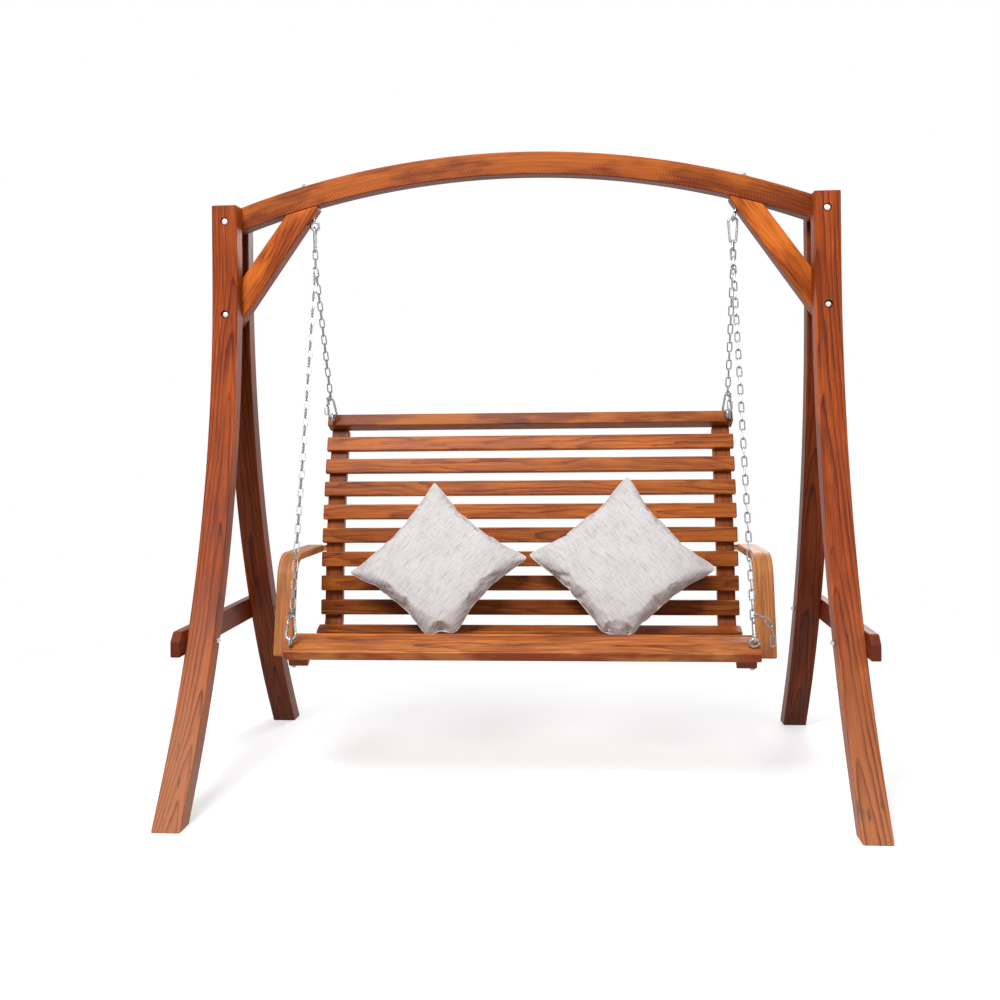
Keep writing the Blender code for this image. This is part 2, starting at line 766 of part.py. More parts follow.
def build_front_rail():
    spot, normal = front_rail_rest()
    centre = side_to_space(0, spot + normal * FRONT_RAIL_THICKNESS / 2)
    angle = angle_of(normal)
    rail = board("front_rail", SLAT_LENGTH, FRONT_RAIL_WIDTH, FRONT_RAIL_THICKNESS, centre, angle)
    apply_modifiers(rail)
    for side in (LEFT, RIGHT):
        start = side_to_space(side * CHAIN_X, spot)
        drill(rail, start, side_to_space(0, normal), FRONT_RAIL_THICKNESS, EYE_WIRE_RADIUS + HOLE_CLEARANCE)
    finish(rail, FRONT_RAIL_COLOUR, WOOD_ROUGHNESS)
    hang(rail)


def build_top_rail():
    spot, along, toward_sitter = top_rail_place()
    centre = side_to_space(0, spot)
    rail = board("top_rail", SLAT_LENGTH, TOP_RAIL_DEPTH, TOP_RAIL_HEIGHT, centre, angle_of(along))
    apply_modifiers(rail)
    for side in (LEFT, RIGHT):
        back = side_to_space(side * CHAIN_X, spot - toward_sitter * TOP_RAIL_DEPTH / 2)
        direction = side_to_space(0, toward_sitter)
        drill(rail, back, direction, TOP_RAIL_DEPTH, EYE_WIRE_RADIUS + HOLE_CLEARANCE)
    finish(rail, SLAT_COLOUR, WOOD_ROUGHNESS)
    hang(rail)


def arm_route():
    route = Route(ARM_FOOT_Y, ARM_FOOT_Z, math.pi / 2 - ARM_LEG_LEAN)
    route.run(ARM_LEG_LENGTH)
    route.arc(ARM_BEND_RADIUS, -(math.pi / 2 - ARM_LEG_LEAN + ARM_DROP), ARM_BEND_STEPS)
    route.run(ARM_LENGTH)
    return route


def build_arm(name, side):
    """A bent board outside the slat ends, with two mounting blocks against the side frame."""
    route = arm_route()
    inner_x = SLAT_LENGTH / 2 + ARM_SIDE_GAP
    outer_x = inner_x + ARM_WIDTH
    arm = ribbon(name, route.points, route.edge(-ARM_THICKNESS), "x", side * inner_x, side * outer_x)
    round_edges(arm)
    apply_modifiers(arm)
    foot_z = seat_frame_z(ARM_FOOT_Y + ARM_THICKNESS / 2)
    foot_y = ARM_FOOT_Y + ARM_THICKNESS / 2 + (foot_z - ARM_FOOT_Z) * math.tan(ARM_LEG_LEAN)
    rear_z = route.offset(-1, -ARM_THICKNESS / 2).y
    rear_y = frame_face_y(rear_z) + FRAME_THICKNESS / 2
    blocks = ((foot_y, foot_z, ARM_FOOT_BLOCK_DEPTH), (rear_y, rear_z, ARM_REAR_BLOCK_DEPTH))
    for middle_y, middle_z, depth in blocks:
        front = middle_y - depth / 2
        back = middle_y + depth / 2
        under = middle_z - ARM_BLOCK_HEIGHT / 2
        over = middle_z + ARM_BLOCK_HEIGHT / 2
        outline = [(front, under), (back, under), (back, over), (front, over)]
        start = side * (FRAME_OUTER_X + FIT_GAP)
        block = prism("block", outline, "x", start, side * (inner_x + ARM_BLOCK_SINK))
        boolean(arm, block, "UNION")
    finish(arm, ARM_COLOUR, WOOD_ROUGHNESS)
    hang(arm)


def seat_frame_z(y):
    """Height of the middle of the side frame's seat bar at a depth."""
    middle = SEAT.edge(FRAME_THICKNESS / 2)
    for a, b in zip(middle, middle[1:]):
        if b.x <= y <= a.x:
            return a.y + (b.y - a.y) * (y - a.x) / (b.x - a.x)
    return middle[-1].y


def frame_face_y(z):
    """Where the back's face lies at a height."""
    for a, b in zip(BACK.points, BACK.points[1:]):
        if a.y <= z <= b.y:
            return a.x + (b.x - a.x) * (z - a.y) / (b.y - a.y)
    return BACK.points[-1].x


# Eyes on the bench

def bench_eye(place):
    """Centre and shank direction of a bench eye bolt in the side plane, and the clamped depth."""
    stand_off = EYE_RADIUS + EYE_WIRE_RADIUS + EYE_STANDOFF
    if place == "front":
        spot, normal = front_rail_rest()
        centre = spot + normal * (FRONT_RAIL_THICKNESS + stand_off)
        return centre, -normal, stand_off + FRONT_RAIL_THICKNESS + FRAME_THICKNESS + FIT_GAP
    spot, _, toward_sitter = top_rail_place()
    centre = spot + toward_sitter * (TOP_RAIL_DEPTH / 2 + stand_off)
    return centre, -toward_sitter, stand_off + TOP_RAIL_DEPTH


RINGS_ALONG_SIDE = {
    ("front", LEFT): True,
    ("front", RIGHT): False,
    ("rear", LEFT): True,
    ("rear", RIGHT): True,
}


# Snap hooks

def hook_straight(narrow_radius, length):
    """Centre distance, tangent angle and tangent length between the two bends."""
    distance = length - 2 * HOOK_WIRE_RADIUS - HOOK_WIDE_RADIUS - narrow_radius
    tilt = math.asin((HOOK_WIDE_RADIUS - narrow_radius) / distance)
    return distance, tilt, distance * math.cos(tilt)


def hook_outline(narrow_radius, length):
    """Centre line from the nose round both bends to the gate's hinge stub, as (across, along)."""
    distance, tilt, tangent = hook_straight(narrow_radius, length)
    wide = Vector((0, HOOK_WIDE_RADIUS))
    narrow = Vector((0, HOOK_WIDE_RADIUS + distance))
    gate_side = Vector((math.cos(tilt), math.sin(tilt)))
    down_gate = Vector((-math.sin(tilt), math.cos(tilt)))
    wide_touch = wide + gate_side * HOOK_WIDE_RADIUS
    narrow_touch = narrow + gate_side * narrow_radius
    points = [wide_touch + down_gate * HOOK_NOSE]
    for i in range(HOOK_BEND_STEPS + 1):
        angle = tilt - (math.pi + 2 * tilt) * i / HOOK_BEND_STEPS
        points.append(wide + Vector((math.cos(angle), math.sin(angle))) * HOOK_WIDE_RADIUS)
    for i in range(HOOK_NARROW_STEPS + 1):
        angle = math.pi - tilt - (math.pi - 2 * tilt) * i / HOOK_NARROW_STEPS
        points.append(narrow + Vector((math.cos(angle), math.sin(angle))) * narrow_radius)
    points.append(narrow_touch - down_gate * HOOK_STUB)
    gate = {"low": wide_touch + down_gate * (HOOK_NOSE + GATE_PLAY),
            "pin": narrow_touch - down_gate * (HOOK_STUB + GATE_PIN_SETBACK),
            "along": down_gate, "side": gate_side,
            "length": tangent - HOOK_NOSE - HOOK_STUB - GATE_PLAY - GATE_PIN_SETBACK}
    return points, gate


def wire_section(bm, point, tangent, stretch, flatten):
    """One six-sided section of the hook's wire in the plane X across, Z along, Y through."""
    side = Vector((tangent.y, -tangent.x))
    section = []
    for k in range(HEXAGON):
        turn = math.tau * (k + 0.5) / HEXAGON
        across = HOOK_WIRE_RADIUS * math.cos(turn) * stretch
        through = HOOK_WIRE_RADIUS * math.sin(turn) * flatten
        spot = point + side * across
        section.append(bm.verts.new((spot.x, through, spot.y)))
    return section


def hook_body_mesh(narrow_radius, length):
    points, gate = hook_outline(narrow_radius, length)
    bm = bmesh.new()
    rings = []
    for i, point in enumerate(points):
        before = (point - points[i - 1]).normalized() if i else (points[1] - point).normalized()
        after = (points[i + 1] - point).normalized() if i + 1 < len(points) else before
        tangent = (before + after).normalized()
        stretch = 1 / math.cos(before.angle(after) / 2) if before.angle(after) else 1
        rings.append(wire_section(bm, point, tangent, stretch, 1))
    tongue_start = points[-1]
    heading = -gate["along"]
    flatten = HOOK_TONGUE_THICKNESS / (2 * HOOK_WIRE_RADIUS)
    rings.append(wire_section(bm, tongue_start, heading, 1, flatten))
    rings.append(wire_section(bm, tongue_start + heading * HOOK_TONGUE_LENGTH, heading, 1, flatten))
    skin_rings(bm, rings)
    return bm


def build_hook(label, origin, along, across, narrow_radius, length):
    """A hook body and its gate. The origin is the wire's centre at the wide end."""
    frame = frame_along(origin, along, across)
    body = add_object(f"hook_{label}", hook_body_mesh(narrow_radius, length), smooth=True)
    body.matrix_world = frame
    finish(body, STEEL_COLOUR, STEEL_ROUGHNESS, metallic=1)
    hang(body)
    gate = hook_outline(narrow_radius, length)[1]
    side = Vector((gate["side"].x, 0, gate["side"].y))
    down = Vector((gate["along"].x, 0, gate["along"].y))
    reach = gate["length"]
    pin = Vector((gate["pin"].x, 0, gate["pin"].y))
    profile = [(-GATE_HEEL, GATE_RADIUS), (reach, GATE_RADIUS)]
    latch = add_object(f"gate_{label}", turned_mesh(profile, OCTAGON), smooth=True)
    slot_length = GATE_HEEL + GATE_SLOT_DEPTH
    bm = bmesh.new()
    bmesh.ops.create_cube(bm, size=1)
    slot_size = (2 * (GATE_RADIUS + OVERRUN), GATE_SLOT_WIDTH, slot_length + OVERRUN)
    bmesh.ops.scale(bm, vec=slot_size, verts=bm.verts)
    lift = (0, 0, GATE_SLOT_DEPTH - (slot_length + OVERRUN) / 2)
    bmesh.ops.translate(bm, vec=lift, verts=bm.verts)
    boolean(latch, add_object("slot", bm), "DIFFERENCE")
    local = axes_matrix(pin, side, side.cross(down), -down)
    latch.matrix_world = frame @ local
    finish(latch, STEEL_COLOUR, STEEL_ROUGHNESS, metallic=1)
    hang(latch)


# Chains

def contact(point, down, side):
    """A meeting place of two links: a point, the chain's direction and two square directions."""
    down = down.normalized()
    through = down.cross(side).normalized()
    return {"at": point, "down": down, "a": through.cross(down), "b": through}


def end_stations(bm, spot, wide, thick, into, last=False):
    """The four wire sections of one link end, from one leg to the other."""
    half = LINK_WIRE / 2
    half_width = LINK_WIDTH / 2
    corner = math.tan(math.pi / 8)
    outer_flat = half + LINK_WIRE * corner
    inner_leg = half_width - LINK_WIRE
    near = (half, 0, outer_flat, -LINK_WIRE)
    far = (inner_leg, inner_leg - half, half_width, half_width - outer_flat - LINK_WIRE)
    stations = []
    for sign, shape in ((-1, far), (-1, near), (1, near), (1, far)):
        stations.append(wire_square(bm, spot, wide * sign, thick, into, shape))
    return stations


def wire_square(bm, spot, wide, thick, into, shape):
    """Four corners of a wire section: inner pair, then outer pair."""
    half = LINK_WIRE / 2
    inner = spot + wide * shape[0] + into * shape[1]
    outer = spot + wide * shape[2] + into * shape[3]
    return [bm.verts.new(p) for p in (inner - thick * half, inner + thick * half,
                                      outer + thick * half, outer - thick * half)]


def fork_stations(bm, spot, wide, thick, into):
    """A square-cornered link end that carries two links side by side."""
    leg = LINK_WIDTH / 2
    inner_leg = leg - LINK_WIRE
    split = inner_leg - LINK_WIRE
    corner = (inner_leg, 0, leg, -LINK_WIRE)
    stations = [wire_square(bm, spot, -wide, thick, into, corner)]
    stations.append(wire_square(bm, spot, wide, thick, into, (split, 0, split, -LINK_WIRE)))
    stations.append(wire_square(bm, spot, wide, thick, into, corner))
    return stations


def leg_squares(bm, spot, wide, thick, into, height):
    """Two sections on a leg, one wire apart, where a spare link hooks on."""
    leg = LINK_WIDTH / 2
    inner_leg = leg - LINK_WIRE
    half = LINK_WIRE / 2
    low = wire_square(bm, spot, wide, thick, into, (inner_leg, height - half, leg, height - half))
    high = wire_square(bm, spot, wide, thick, into, (inner_leg, height + half, leg, height + half))
    return [low, high]


def add_link(bm, start, end, wide_key, open_start, open_end, fork=False, has_tail=False):
    """One link between two contacts. An open end is where the next link is joined on."""
    thick_key = "b" if wide_key == "a" else "a"
    head = end_stations(bm, start["at"], start[wide_key], start[thick_key], start["down"])
    if fork:
        foot = fork_stations(bm, end["middle"], end[wide_key], end[thick_key], -end["down"])
    else:
        foot = end_stations(bm, end["at"], end[wide_key], end[thick_key], -end["down"])
    loop = list(head)
    hooked = None
    if has_tail:
        wide = end[wide_key]
        squares = leg_squares(bm, end["at"], wide, end[thick_key], -end["down"], TAIL_SETBACK)
        hooked = (len(loop), len(loop) + 1)
        loop += list(reversed(squares))
    loop += list(reversed(foot))
    skip = set()
    if open_start:
        skip.add((1, 2))
    if open_end:
        first = loop.index(foot[1])
        skip.add((first - 1, first))
    if hooked:
        skip.add(hooked)
    count = len(loop)
    for i in range(count):
        j = (i + 1) % count
        for k in range(4):
            if k == 0 and (i, j) in skip:
                continue
            m = (k + 1) % 4
            bm.faces.new((loop[i][k], loop[i][m], loop[j][m], loop[j][k]))


def straight_contacts(first, last, count, side):
    """Contacts spread evenly on a line, both ends included."""
    down = last - first
    return [contact(first + down * i / count, down, side) for i in range(count + 1)]


def add_tail(bm, start, wide_key, links):
    """Spare links that hang from a leg of the chain's last link."""
    thick_key = "b" if wide_key == "a" else "a"
    out = start[wide_key]
    down = start["down"]
    inner_leg = LINK_WIDTH / 2 - LINK_WIRE
    spot = start["at"] + out * inner_leg - down * TAIL_SETBACK
    thick = start[thick_key]
    gravity = -Z_AXIS
    flat_out = (out - gravity * out.dot(gravity)).normalized()
    joint = {"at": spot, "down": out, "a": thick, "b": out.cross(thick)}
    contacts = [joint]
    angle = 0
    for i in range(links):
        following = min(angle + TAIL_DROOP, math.pi / 2)
        middle = (angle + following) / 2
        step = flat_out * math.cos(middle) + gravity * math.sin(middle)
        spot = spot + step * LINK_PITCH
        heading = flat_out * math.cos(following) + gravity * math.sin(following)
        contacts.append({"at": spot, "down": heading, "a": thick, "b": heading.cross(thick)})
        angle = following
    for i in range(links):
        key = "a" if i % 2 == 0 else "b"
        add_link(bm, contacts[i], contacts[i + 1], key, True, i + 1 < links)


def build_chain(name, contacts, first_key, tail_links, fork_at=None):
    """A chain of links through its contacts, with spare links hanging in its last one."""
    bm = bmesh.new()
    other = {"a": "b", "b": "a"}
    key = first_key
    last = len(contacts) - 2
    for i in range(last + 1):
        fork = fork_at == i
        is_last = i == last
        add_link(bm, contacts[i], contacts[i + 1], key, i > 0, not is_last, fork, is_last)
        if is_last:
            add_tail(bm, contacts[i + 1], key, tail_links)
        key = other[key]
    bmesh.ops.remove_doubles(bm, verts=bm.verts, dist=MERGE_DISTANCE)
    chain = add_object(name, bm)
    finish(chain, STEEL_COLOUR, STEEL_ROUGHNESS, metallic=1)
    hang(chain)


def bend_rise(bend_radius, reach):
    """How far a hook's inner bend rises at a distance from its middle."""
    inner = bend_radius - HOOK_WIRE_RADIUS
    return inner - math.sqrt(inner ** 2 - reach ** 2)


def hang(obj):
    """Parent a piece to the swing's axis without moving it."""
    obj.parent = SWING_AXIS
    obj.matrix_parent_inverse = Matrix.Translation(SWING_AXIS.location).inverted()


def ring_to_hook():
    """From a ring wire's centre to the hook wire's centre."""
    return EYE_WIRE_RADIUS + HOOK_WIRE_RADIUS + HOOK_PLAY


def build_upper_hook(label, side, across):
    out = Z_AXIS if side == LEFT else upper_eye_direction(side)
    wide = upper_eye_centre(side) - out * EYE_RADIUS + Z_AXIS * ring_to_hook()
    build_hook(label, wide, -Z_AXIS, across, HOOK_NARROW_UPPER, HOOK_LENGTH_UPPER)
    return wide - Z_AXIS * (HOOK_LENGTH_UPPER - 2 * HOOK_WIRE_RADIUS)


def lower_hook_and_end(place, side, top):
    """Build a bench hook on the line from the chain's top, and return the chain's last contact."""
    flat, shank, _ = bench_eye(place)
    centre = side_to_space(side * CHAIN_X, flat)
    if RINGS_ALONG_SIDE[(place, side)]:
        down = (centre - top).normalized()
        touch = centre - down * EYE_RADIUS
        across = X_AXIS
    else:
        touch = centre - side_to_space(0, shank) * EYE_RADIUS
        down = (touch - top).normalized()
        across = down.cross(X_AXIS)
    wide = touch + down * ring_to_hook()
    side_name = "left" if side == LEFT else "right"
    build_hook(f"{place}_{side_name}", wide, -down, across, HOOK_NARROW_LOWER, HOOK_LENGTH_LOWER)
    narrow = wide - down * (HOOK_LENGTH_LOWER - 2 * HOOK_WIRE_RADIUS)
    seat = HOOK_WIRE_RADIUS + bend_rise(HOOK_NARROW_LOWER, LINK_WIRE / 2) + LINK_PLAY
    return narrow + down * seat


def build_right_chains(narrow):
    """Both right chains hang side by side on the upper hook."""
    offset = LINK_WIRE / 2 + LINK_SIDE_GAP / 2
    seat = HOOK_WIRE_RADIUS + bend_rise(HOOK_NARROW_UPPER, offset + LINK_WIRE / 2) + LINK_PLAY
    strands = (("front", -offset, FRONT_LINKS, FRONT_RIGHT_SPARE_COUNT),
               ("rear", offset, REAR_LINKS_RIGHT, REAR_RIGHT_SPARE_COUNT))
    for place, shift, count, tail in strands:
        top = narrow + X_AXIS * shift
        end = lower_hook_and_end(place, RIGHT, top)
        down = (end - top).normalized()
        contacts = straight_contacts(top - down * seat, end, count, X_AXIS)
        build_chain(f"chain_{place}_right", contacts, "b", tail)


def build_left_chains(narrow):
    """Two shared links hang on the upper hook, and both chains hang in the second one."""
    seat = HOOK_WIRE_RADIUS + bend_rise(HOOK_NARROW_UPPER, LINK_WIRE / 2) + LINK_PLAY
    start = narrow + Z_AXIS * seat
    shared = [contact(start - Z_AXIS * LINK_PITCH * i, -Z_AXIS, X_AXIS) for i in range(SHARED_LINKS)]
    inner_leg = LINK_WIDTH / 2 - LINK_WIRE
    middle = start - Z_AXIS * LINK_PITCH * SHARED_LINKS
    fork = contact(middle - Y_AXIS * (inner_leg - LINK_WIRE / 2), -Z_AXIS, X_AXIS)
    fork["middle"] = middle
    end = lower_hook_and_end("front", LEFT, fork["at"])
    strand = straight_contacts(fork["at"], end, FRONT_LINKS - SHARED_LINKS, X_AXIS)
    contacts = shared + [fork] + strand[1:]
    build_chain("chain_front_left", contacts, "a", FRONT_LEFT_SPARE_COUNT, SHARED_LINKS - 1)
    top = middle + Y_AXIS * (inner_leg - LINK_WIRE / 2 - FIT_GAP) + Z_AXIS * LINK_PLAY
    end = lower_hook_and_end("rear", LEFT, top)
    strand = straight_contacts(top, end, REAR_LINKS_LEFT - SHARED_LINKS, X_AXIS)
    strand[0] = contact(top, -Z_AXIS, X_AXIS)
    build_chain("chain_rear_left", strand, "a", REAR_LEFT_SPARE_COUNT)


# Cushions

def build_cushion(name, size_share, x_share, z, roll):
    """A square pillow with a crown, drawn-in sides and a pressed lower corner, leaning back."""
    bm = bmesh.new()
    half = size_share * SLAT_LENGTH / 2
    cells = CUSHION_CELLS
    sheets = []
    for face in (1, -1):
        rows = []
        for i in range(cells + 1):
            row = []
            for j in range(cells + 1):
                u = math.sin(math.pi / 2 * (2 * i / cells - 1))
                v = math.sin(math.pi / 2 * (2 * j / cells - 1))
                on_seam = i in (0, cells) or j in (0, cells)
                if face == -1 and on_seam:
                    row.append(sheets[0][i][j])
                    continue
                blunt = 1 - CUSHION_BLUNT_SHARE * max(0, (u - v) / 2) ** CUSHION_BLUNT_POWER
                width = half * blunt * u * (1 - CUSHION_DRAW_SHARE * (1 - v * v))
                height = half * blunt * v * (1 - CUSHION_DRAW_SHARE * (1 - u * u))
                puff = ((1 - u * u) * (1 - v * v)) ** CUSHION_FULLNESS
                row.append(bm.verts.new((width, face * puff * CUSHION_THICKNESS / 2, height)))
            rows.append(row)
        sheets.append(rows)
    for rows in sheets:
        for i in range(cells):
            for j in range(cells):
                bm.faces.new((rows[i][j], rows[i + 1][j], rows[i + 1][j + 1], rows[i][j + 1]))
    cushion = add_object(name, bm, smooth=True)
    lean = Matrix.Rotation(-CUSHION_LEAN, 4, "X")
    turn = Matrix.Rotation(roll, 4, "Y")
    cushion.matrix_world = Matrix.Translation((x_share * SLAT_LENGTH, CUSHION_CENTRE_Y, z)) @ lean @ turn
    finish(cushion, CUSHION_COLOUR, CLOTH_ROUGHNESS)
    hang(cushion)


def build_stand():
    for side_name, side in SIDES.items():
        build_leg(f"leg_front_{side_name}", side, FRONT)
        build_leg(f"leg_rear_{side_name}", side, REAR)
        build_brace(f"brace_{side_name}", side)
        build_stretcher(f"stretcher_{side_name}", side)
        build_leg_bolt(f"post_bolt_upper_{side_name}", side, UPPER_BOLT_Z)
        build_leg_bolt(f"post_bolt_lower_{side_name}", side, LOWER_BOLT_Z)
        build_stretcher_bolt(f"stretcher_bolt_front_{side_name}", side, FRONT)
        build_stretcher_bolt(f"stretcher_bolt_rear_{side_name}", side, REAR)
    build_beam()


def build_upper_eyes():
    """The left ring faces the front, the right one stands edge-on to it."""
    for side_name, side in SIDES.items():
        centre = upper_eye_centre(side)
        direction = upper_eye_direction(side)
        distance = (centre - BEAM_CENTRE).length
        grip_end = BEAM_RADIUS - distance + NUT_GAP
        hint = X_AXIS if side == LEFT else Y_AXIS
        lowest = direction.angle(-Z_AXIS) if side == LEFT else 0
        phase = -lowest if side == LEFT else 0
        build_eye_bolt(f"eye_bolt_upper_{side_name}", centre, direction, hint, grip_end, phase)


def build_bench_eyes():
    for (place, side), along_side in RINGS_ALONG_SIDE.items():
        flat, shank, grip_end = bench_eye(place)
        centre = side_to_space(side * CHAIN_X, flat)
        direction = side_to_space(0, shank)
        hint = direction.cross(X_AXIS) if along_side else X_AXIS
        side_name = "left" if side == LEFT else "right"
        name = f"eye_bolt_{place}_{side_name}"
        eye = build_eye_bolt(name, centre, direction, hint, grip_end + NUT_GAP, 0)
        hang(eye)


def build_bench():
    for side_name, side in SIDES.items():
        hang(build_side_frame(f"side_frame_{side_name}", side))
        build_arm(f"armrest_{side_name}", side)
    build_back_slats()
    build_seat_slats()
    build_front_rail()
    build_top_rail()
    build_bench_eyes()


clear_scene()
SWING_AXIS = bpy.data.objects.new("swing_axis", None)
SWING_AXIS.location = (0, 0, UPPER_EYE_Z - EYE_RADIUS + SWING_AXIS_RISE)
bpy.context.scene.collection.objects.link(SWING_AXIS)
build_stand()
build_upper_eyes()
build_bench()
build_right_chains(build_upper_hook("upper_right", RIGHT, X_AXIS))
build_left_chains(build_upper_hook("upper_left", LEFT, Y_AXIS))
build_cushion("cushion_left", CUSHION_LEFT_SIZE_SHARE, CUSHION_LEFT_X_SHARE, CUSHION_Z_LEFT,
              CUSHION_ROLL_LEFT)
build_cushion("cushion_right", CUSHION_RIGHT_SIZE_SHARE, CUSHION_RIGHT_X_SHARE, CUSHION_Z_RIGHT,
              CUSHION_ROLL_RIGHT)
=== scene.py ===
"""Looks of a slatted swing bench hung by four chains in a wooden stand with curved legs."""

import math
import random

import bmesh
import bpy
import numpy as np
from mathutils import Matrix, Vector
from mathutils.bvhtree import BVHTree


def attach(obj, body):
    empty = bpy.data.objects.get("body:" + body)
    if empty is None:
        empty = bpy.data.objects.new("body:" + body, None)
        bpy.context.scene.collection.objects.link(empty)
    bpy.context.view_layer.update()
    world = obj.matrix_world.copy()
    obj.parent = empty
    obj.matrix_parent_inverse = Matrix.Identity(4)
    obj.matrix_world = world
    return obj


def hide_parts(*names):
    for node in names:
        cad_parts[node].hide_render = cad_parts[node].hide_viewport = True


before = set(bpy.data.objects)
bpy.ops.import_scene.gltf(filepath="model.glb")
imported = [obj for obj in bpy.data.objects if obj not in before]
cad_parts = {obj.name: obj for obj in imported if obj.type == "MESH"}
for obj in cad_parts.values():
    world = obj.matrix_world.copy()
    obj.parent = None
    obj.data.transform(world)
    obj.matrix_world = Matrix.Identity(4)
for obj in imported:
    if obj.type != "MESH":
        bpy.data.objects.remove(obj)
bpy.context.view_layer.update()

# Fits and cuts
FIT_GAP = 0.0003
HOLE_CLEARANCE = 0.0006
OVERRUN = 0.004
NUT_GAP = 0.0005
SHARP_ANGLE = math.radians(35)
BEVEL_ANGLE = math.radians(30)

# Curved legs
LEG_WIDTH = 0.075
LEG_DEPTH = 0.057
LEG_FACE_RADIUS = 2.300
LEG_ARC_END = 0.1041
LEG_ARC_STEPS = 14
POST_STRAIGHT = 0.193
POST_RISE = 0.01034
STAND_HALF_WIDTH = 0.905

# Arched cross beam, clamped between front and rear legs
BEAM_THICKNESS = 0.060
BEAM_HEIGHT = 0.066
BEAM_RADIUS = 2.485
BEAM_TOP = 1.808
BEAM_STEPS = 36

# Knee braces, in the plane of the beam
BRACE_TIP_REACH = 0.013
BRACE_TIP_DEPTH = 0.0094
BRACE_TIP_LENGTH = 0.094
BRACE_LOW_ANGLE = math.radians(54.937)
BRACE_HIGH_ANGLE = math.radians(53.990)
BRACE_TOP_STEPS = 3

# Through bolts at the top of the legs
BOLT_RADIUS = 0.005
BOLT_HEAD_RADIUS = 0.010
BOLT_HEAD_HEIGHT = 0.006
COUNTERBORE_RADIUS = 0.012
COUNTERBORE_DEPTH = 0.008
UPPER_BOLT_DROP = 0.0024
LOWER_BOLT_DROP = 0.002

# Side stretchers, on the outer faces of the legs
STRETCHER_THICKNESS = 0.027
STRETCHER_LOW_Z = 0.393
STRETCHER_HIGH_Z = 0.460
STRETCHER_OVERHANG = 0.0828
STRETCHER_CORNER = 0.024
STRETCHER_BOLT_RADIUS = 0.004
STRETCHER_HEAD_RADIUS = 0.009
STRETCHER_HEAD_HEIGHT = 0.0055
STRETCHER_NUT_RADIUS = 0.0085
STRETCHER_NUT_HEIGHT = 0.0065
STRETCHER_BOLT_SPARE = 0.004

# Eye bolts
EYE_WIRE_RADIUS = 0.004
EYE_RADIUS = 0.012
EYE_STANDOFF = 0.0012
EYE_SPARE = 0.004
NUT_RADIUS = 0.0085
NUT_HEIGHT = 0.0068
WASHER_RADIUS = 0.011
WASHER_HEIGHT = 0.0016
EYE_END_DISTANCE = 0.020
EYE_DROP = 0.12118

# Snap hooks
HOOK_WIRE_RADIUS = 0.0035
HOOK_WIDE_RADIUS = 0.013
HOOK_LENGTH_UPPER = 0.080
HOOK_LENGTH_LOWER = 0.070
HOOK_NARROW_UPPER = 0.009
HOOK_NARROW_LOWER = 0.0075
HOOK_PLAY = 0.0008
HOOK_NOSE = 0.004
HOOK_STUB = 0.004
HOOK_BEND_STEPS = 8
HOOK_NARROW_STEPS = 6
HOOK_TONGUE_THICKNESS = 0.0024
HOOK_TONGUE_LENGTH = 0.0058
GATE_RADIUS = 0.0034
GATE_PIN_SETBACK = 0.0028
GATE_HEEL = 0.0012
GATE_SLOT_WIDTH = 0.0032
GATE_SLOT_DEPTH = 0.0046
GATE_PLAY = 0.0006

# Chains
LINK_WIRE = 0.004
LINK_WIDTH = 0.017
LINK_PITCH = 0.0263
LINK_PLAY = 0.0005
LINK_SIDE_GAP = 0.0008
SHARED_LINKS = 2
FRONT_LINKS = 42
REAR_LINKS_LEFT = 18
REAR_LINKS_RIGHT = 17
FRONT_RIGHT_SPARE_COUNT = 4
REAR_RIGHT_SPARE_COUNT = 4
FRONT_LEFT_SPARE_COUNT = 2
REAR_LEFT_SPARE_COUNT = 3
TAIL_SETBACK = 0.0125
TAIL_DROOP = math.radians(34)

# Bench boards
BENCH_SIDE_ROOM = 0.268
SLAT_WIDTH = 0.046
SLAT_THICKNESS = 0.020
TOP_RAIL_HEIGHT = 0.038
TOP_RAIL_DEPTH = 0.050
FRONT_RAIL_WIDTH = 0.050
FRONT_RAIL_THICKNESS = 0.029
FRONT_RAIL_SETBACK = 0.012
BACK_SLATS = 8
SEAT_SLATS = 5

# Bent side frames: their face towards the sitter is the route below
FRAME_WIDTH = 0.054
FRAME_THICKNESS = 0.030
FRAME_INSET = 0.009
FRAME_FOOT_Y = 0.1358
FRAME_FOOT_Z = 0.4540
BACK_LEAN = math.radians(4)
BACK_RADIUS = 1.790
BACK_SLAT_PITCH = 0.0728
TOP_RAIL_PITCH = 0.0745
BACK_STEPS = 9
BEND_RUN = 0.020
BEND_RADIUS = 0.052
BEND_TURN = math.radians(68)
BEND_STEPS = 6
REAR_SLAT_RUN = 0.046
SCOOP_RADIUS = 0.150
SCOOP_TURN = math.radians(30)
SCOOP_STEPS = 4
SEAT_RUN = 0.183
CREST_RADIUS = 0.150
CREST_TURN = math.radians(19)
CREST_STEPS = 3
CREST_RUN = 0.030
NOSE_RADIUS = 0.040
NOSE_TURN = math.radians(21)
NOSE_STEPS = 2
NOSE_RUN = 0.038
SEAT_SLAT_PITCH = 0.0875
REAR_SLAT_FROM_FOOT = 0.1045

# Armrests
ARM_WIDTH = 0.055
ARM_THICKNESS = 0.022
ARM_SIDE_GAP = 0.001
ARM_FOOT_Y = -0.238
ARM_FOOT_Z = 0.3715
ARM_LEG_LEAN = math.radians(13)
ARM_LEG_LENGTH = 0.220
ARM_BEND_RADIUS = 0.080
ARM_BEND_STEPS = 6
ARM_DROP = math.radians(1)
ARM_LENGTH = 0.278
ARM_BLOCK_SINK = 0.002
ARM_FOOT_BLOCK_DEPTH = 0.030
ARM_REAR_BLOCK_DEPTH = 0.020
ARM_BLOCK_HEIGHT = 0.016

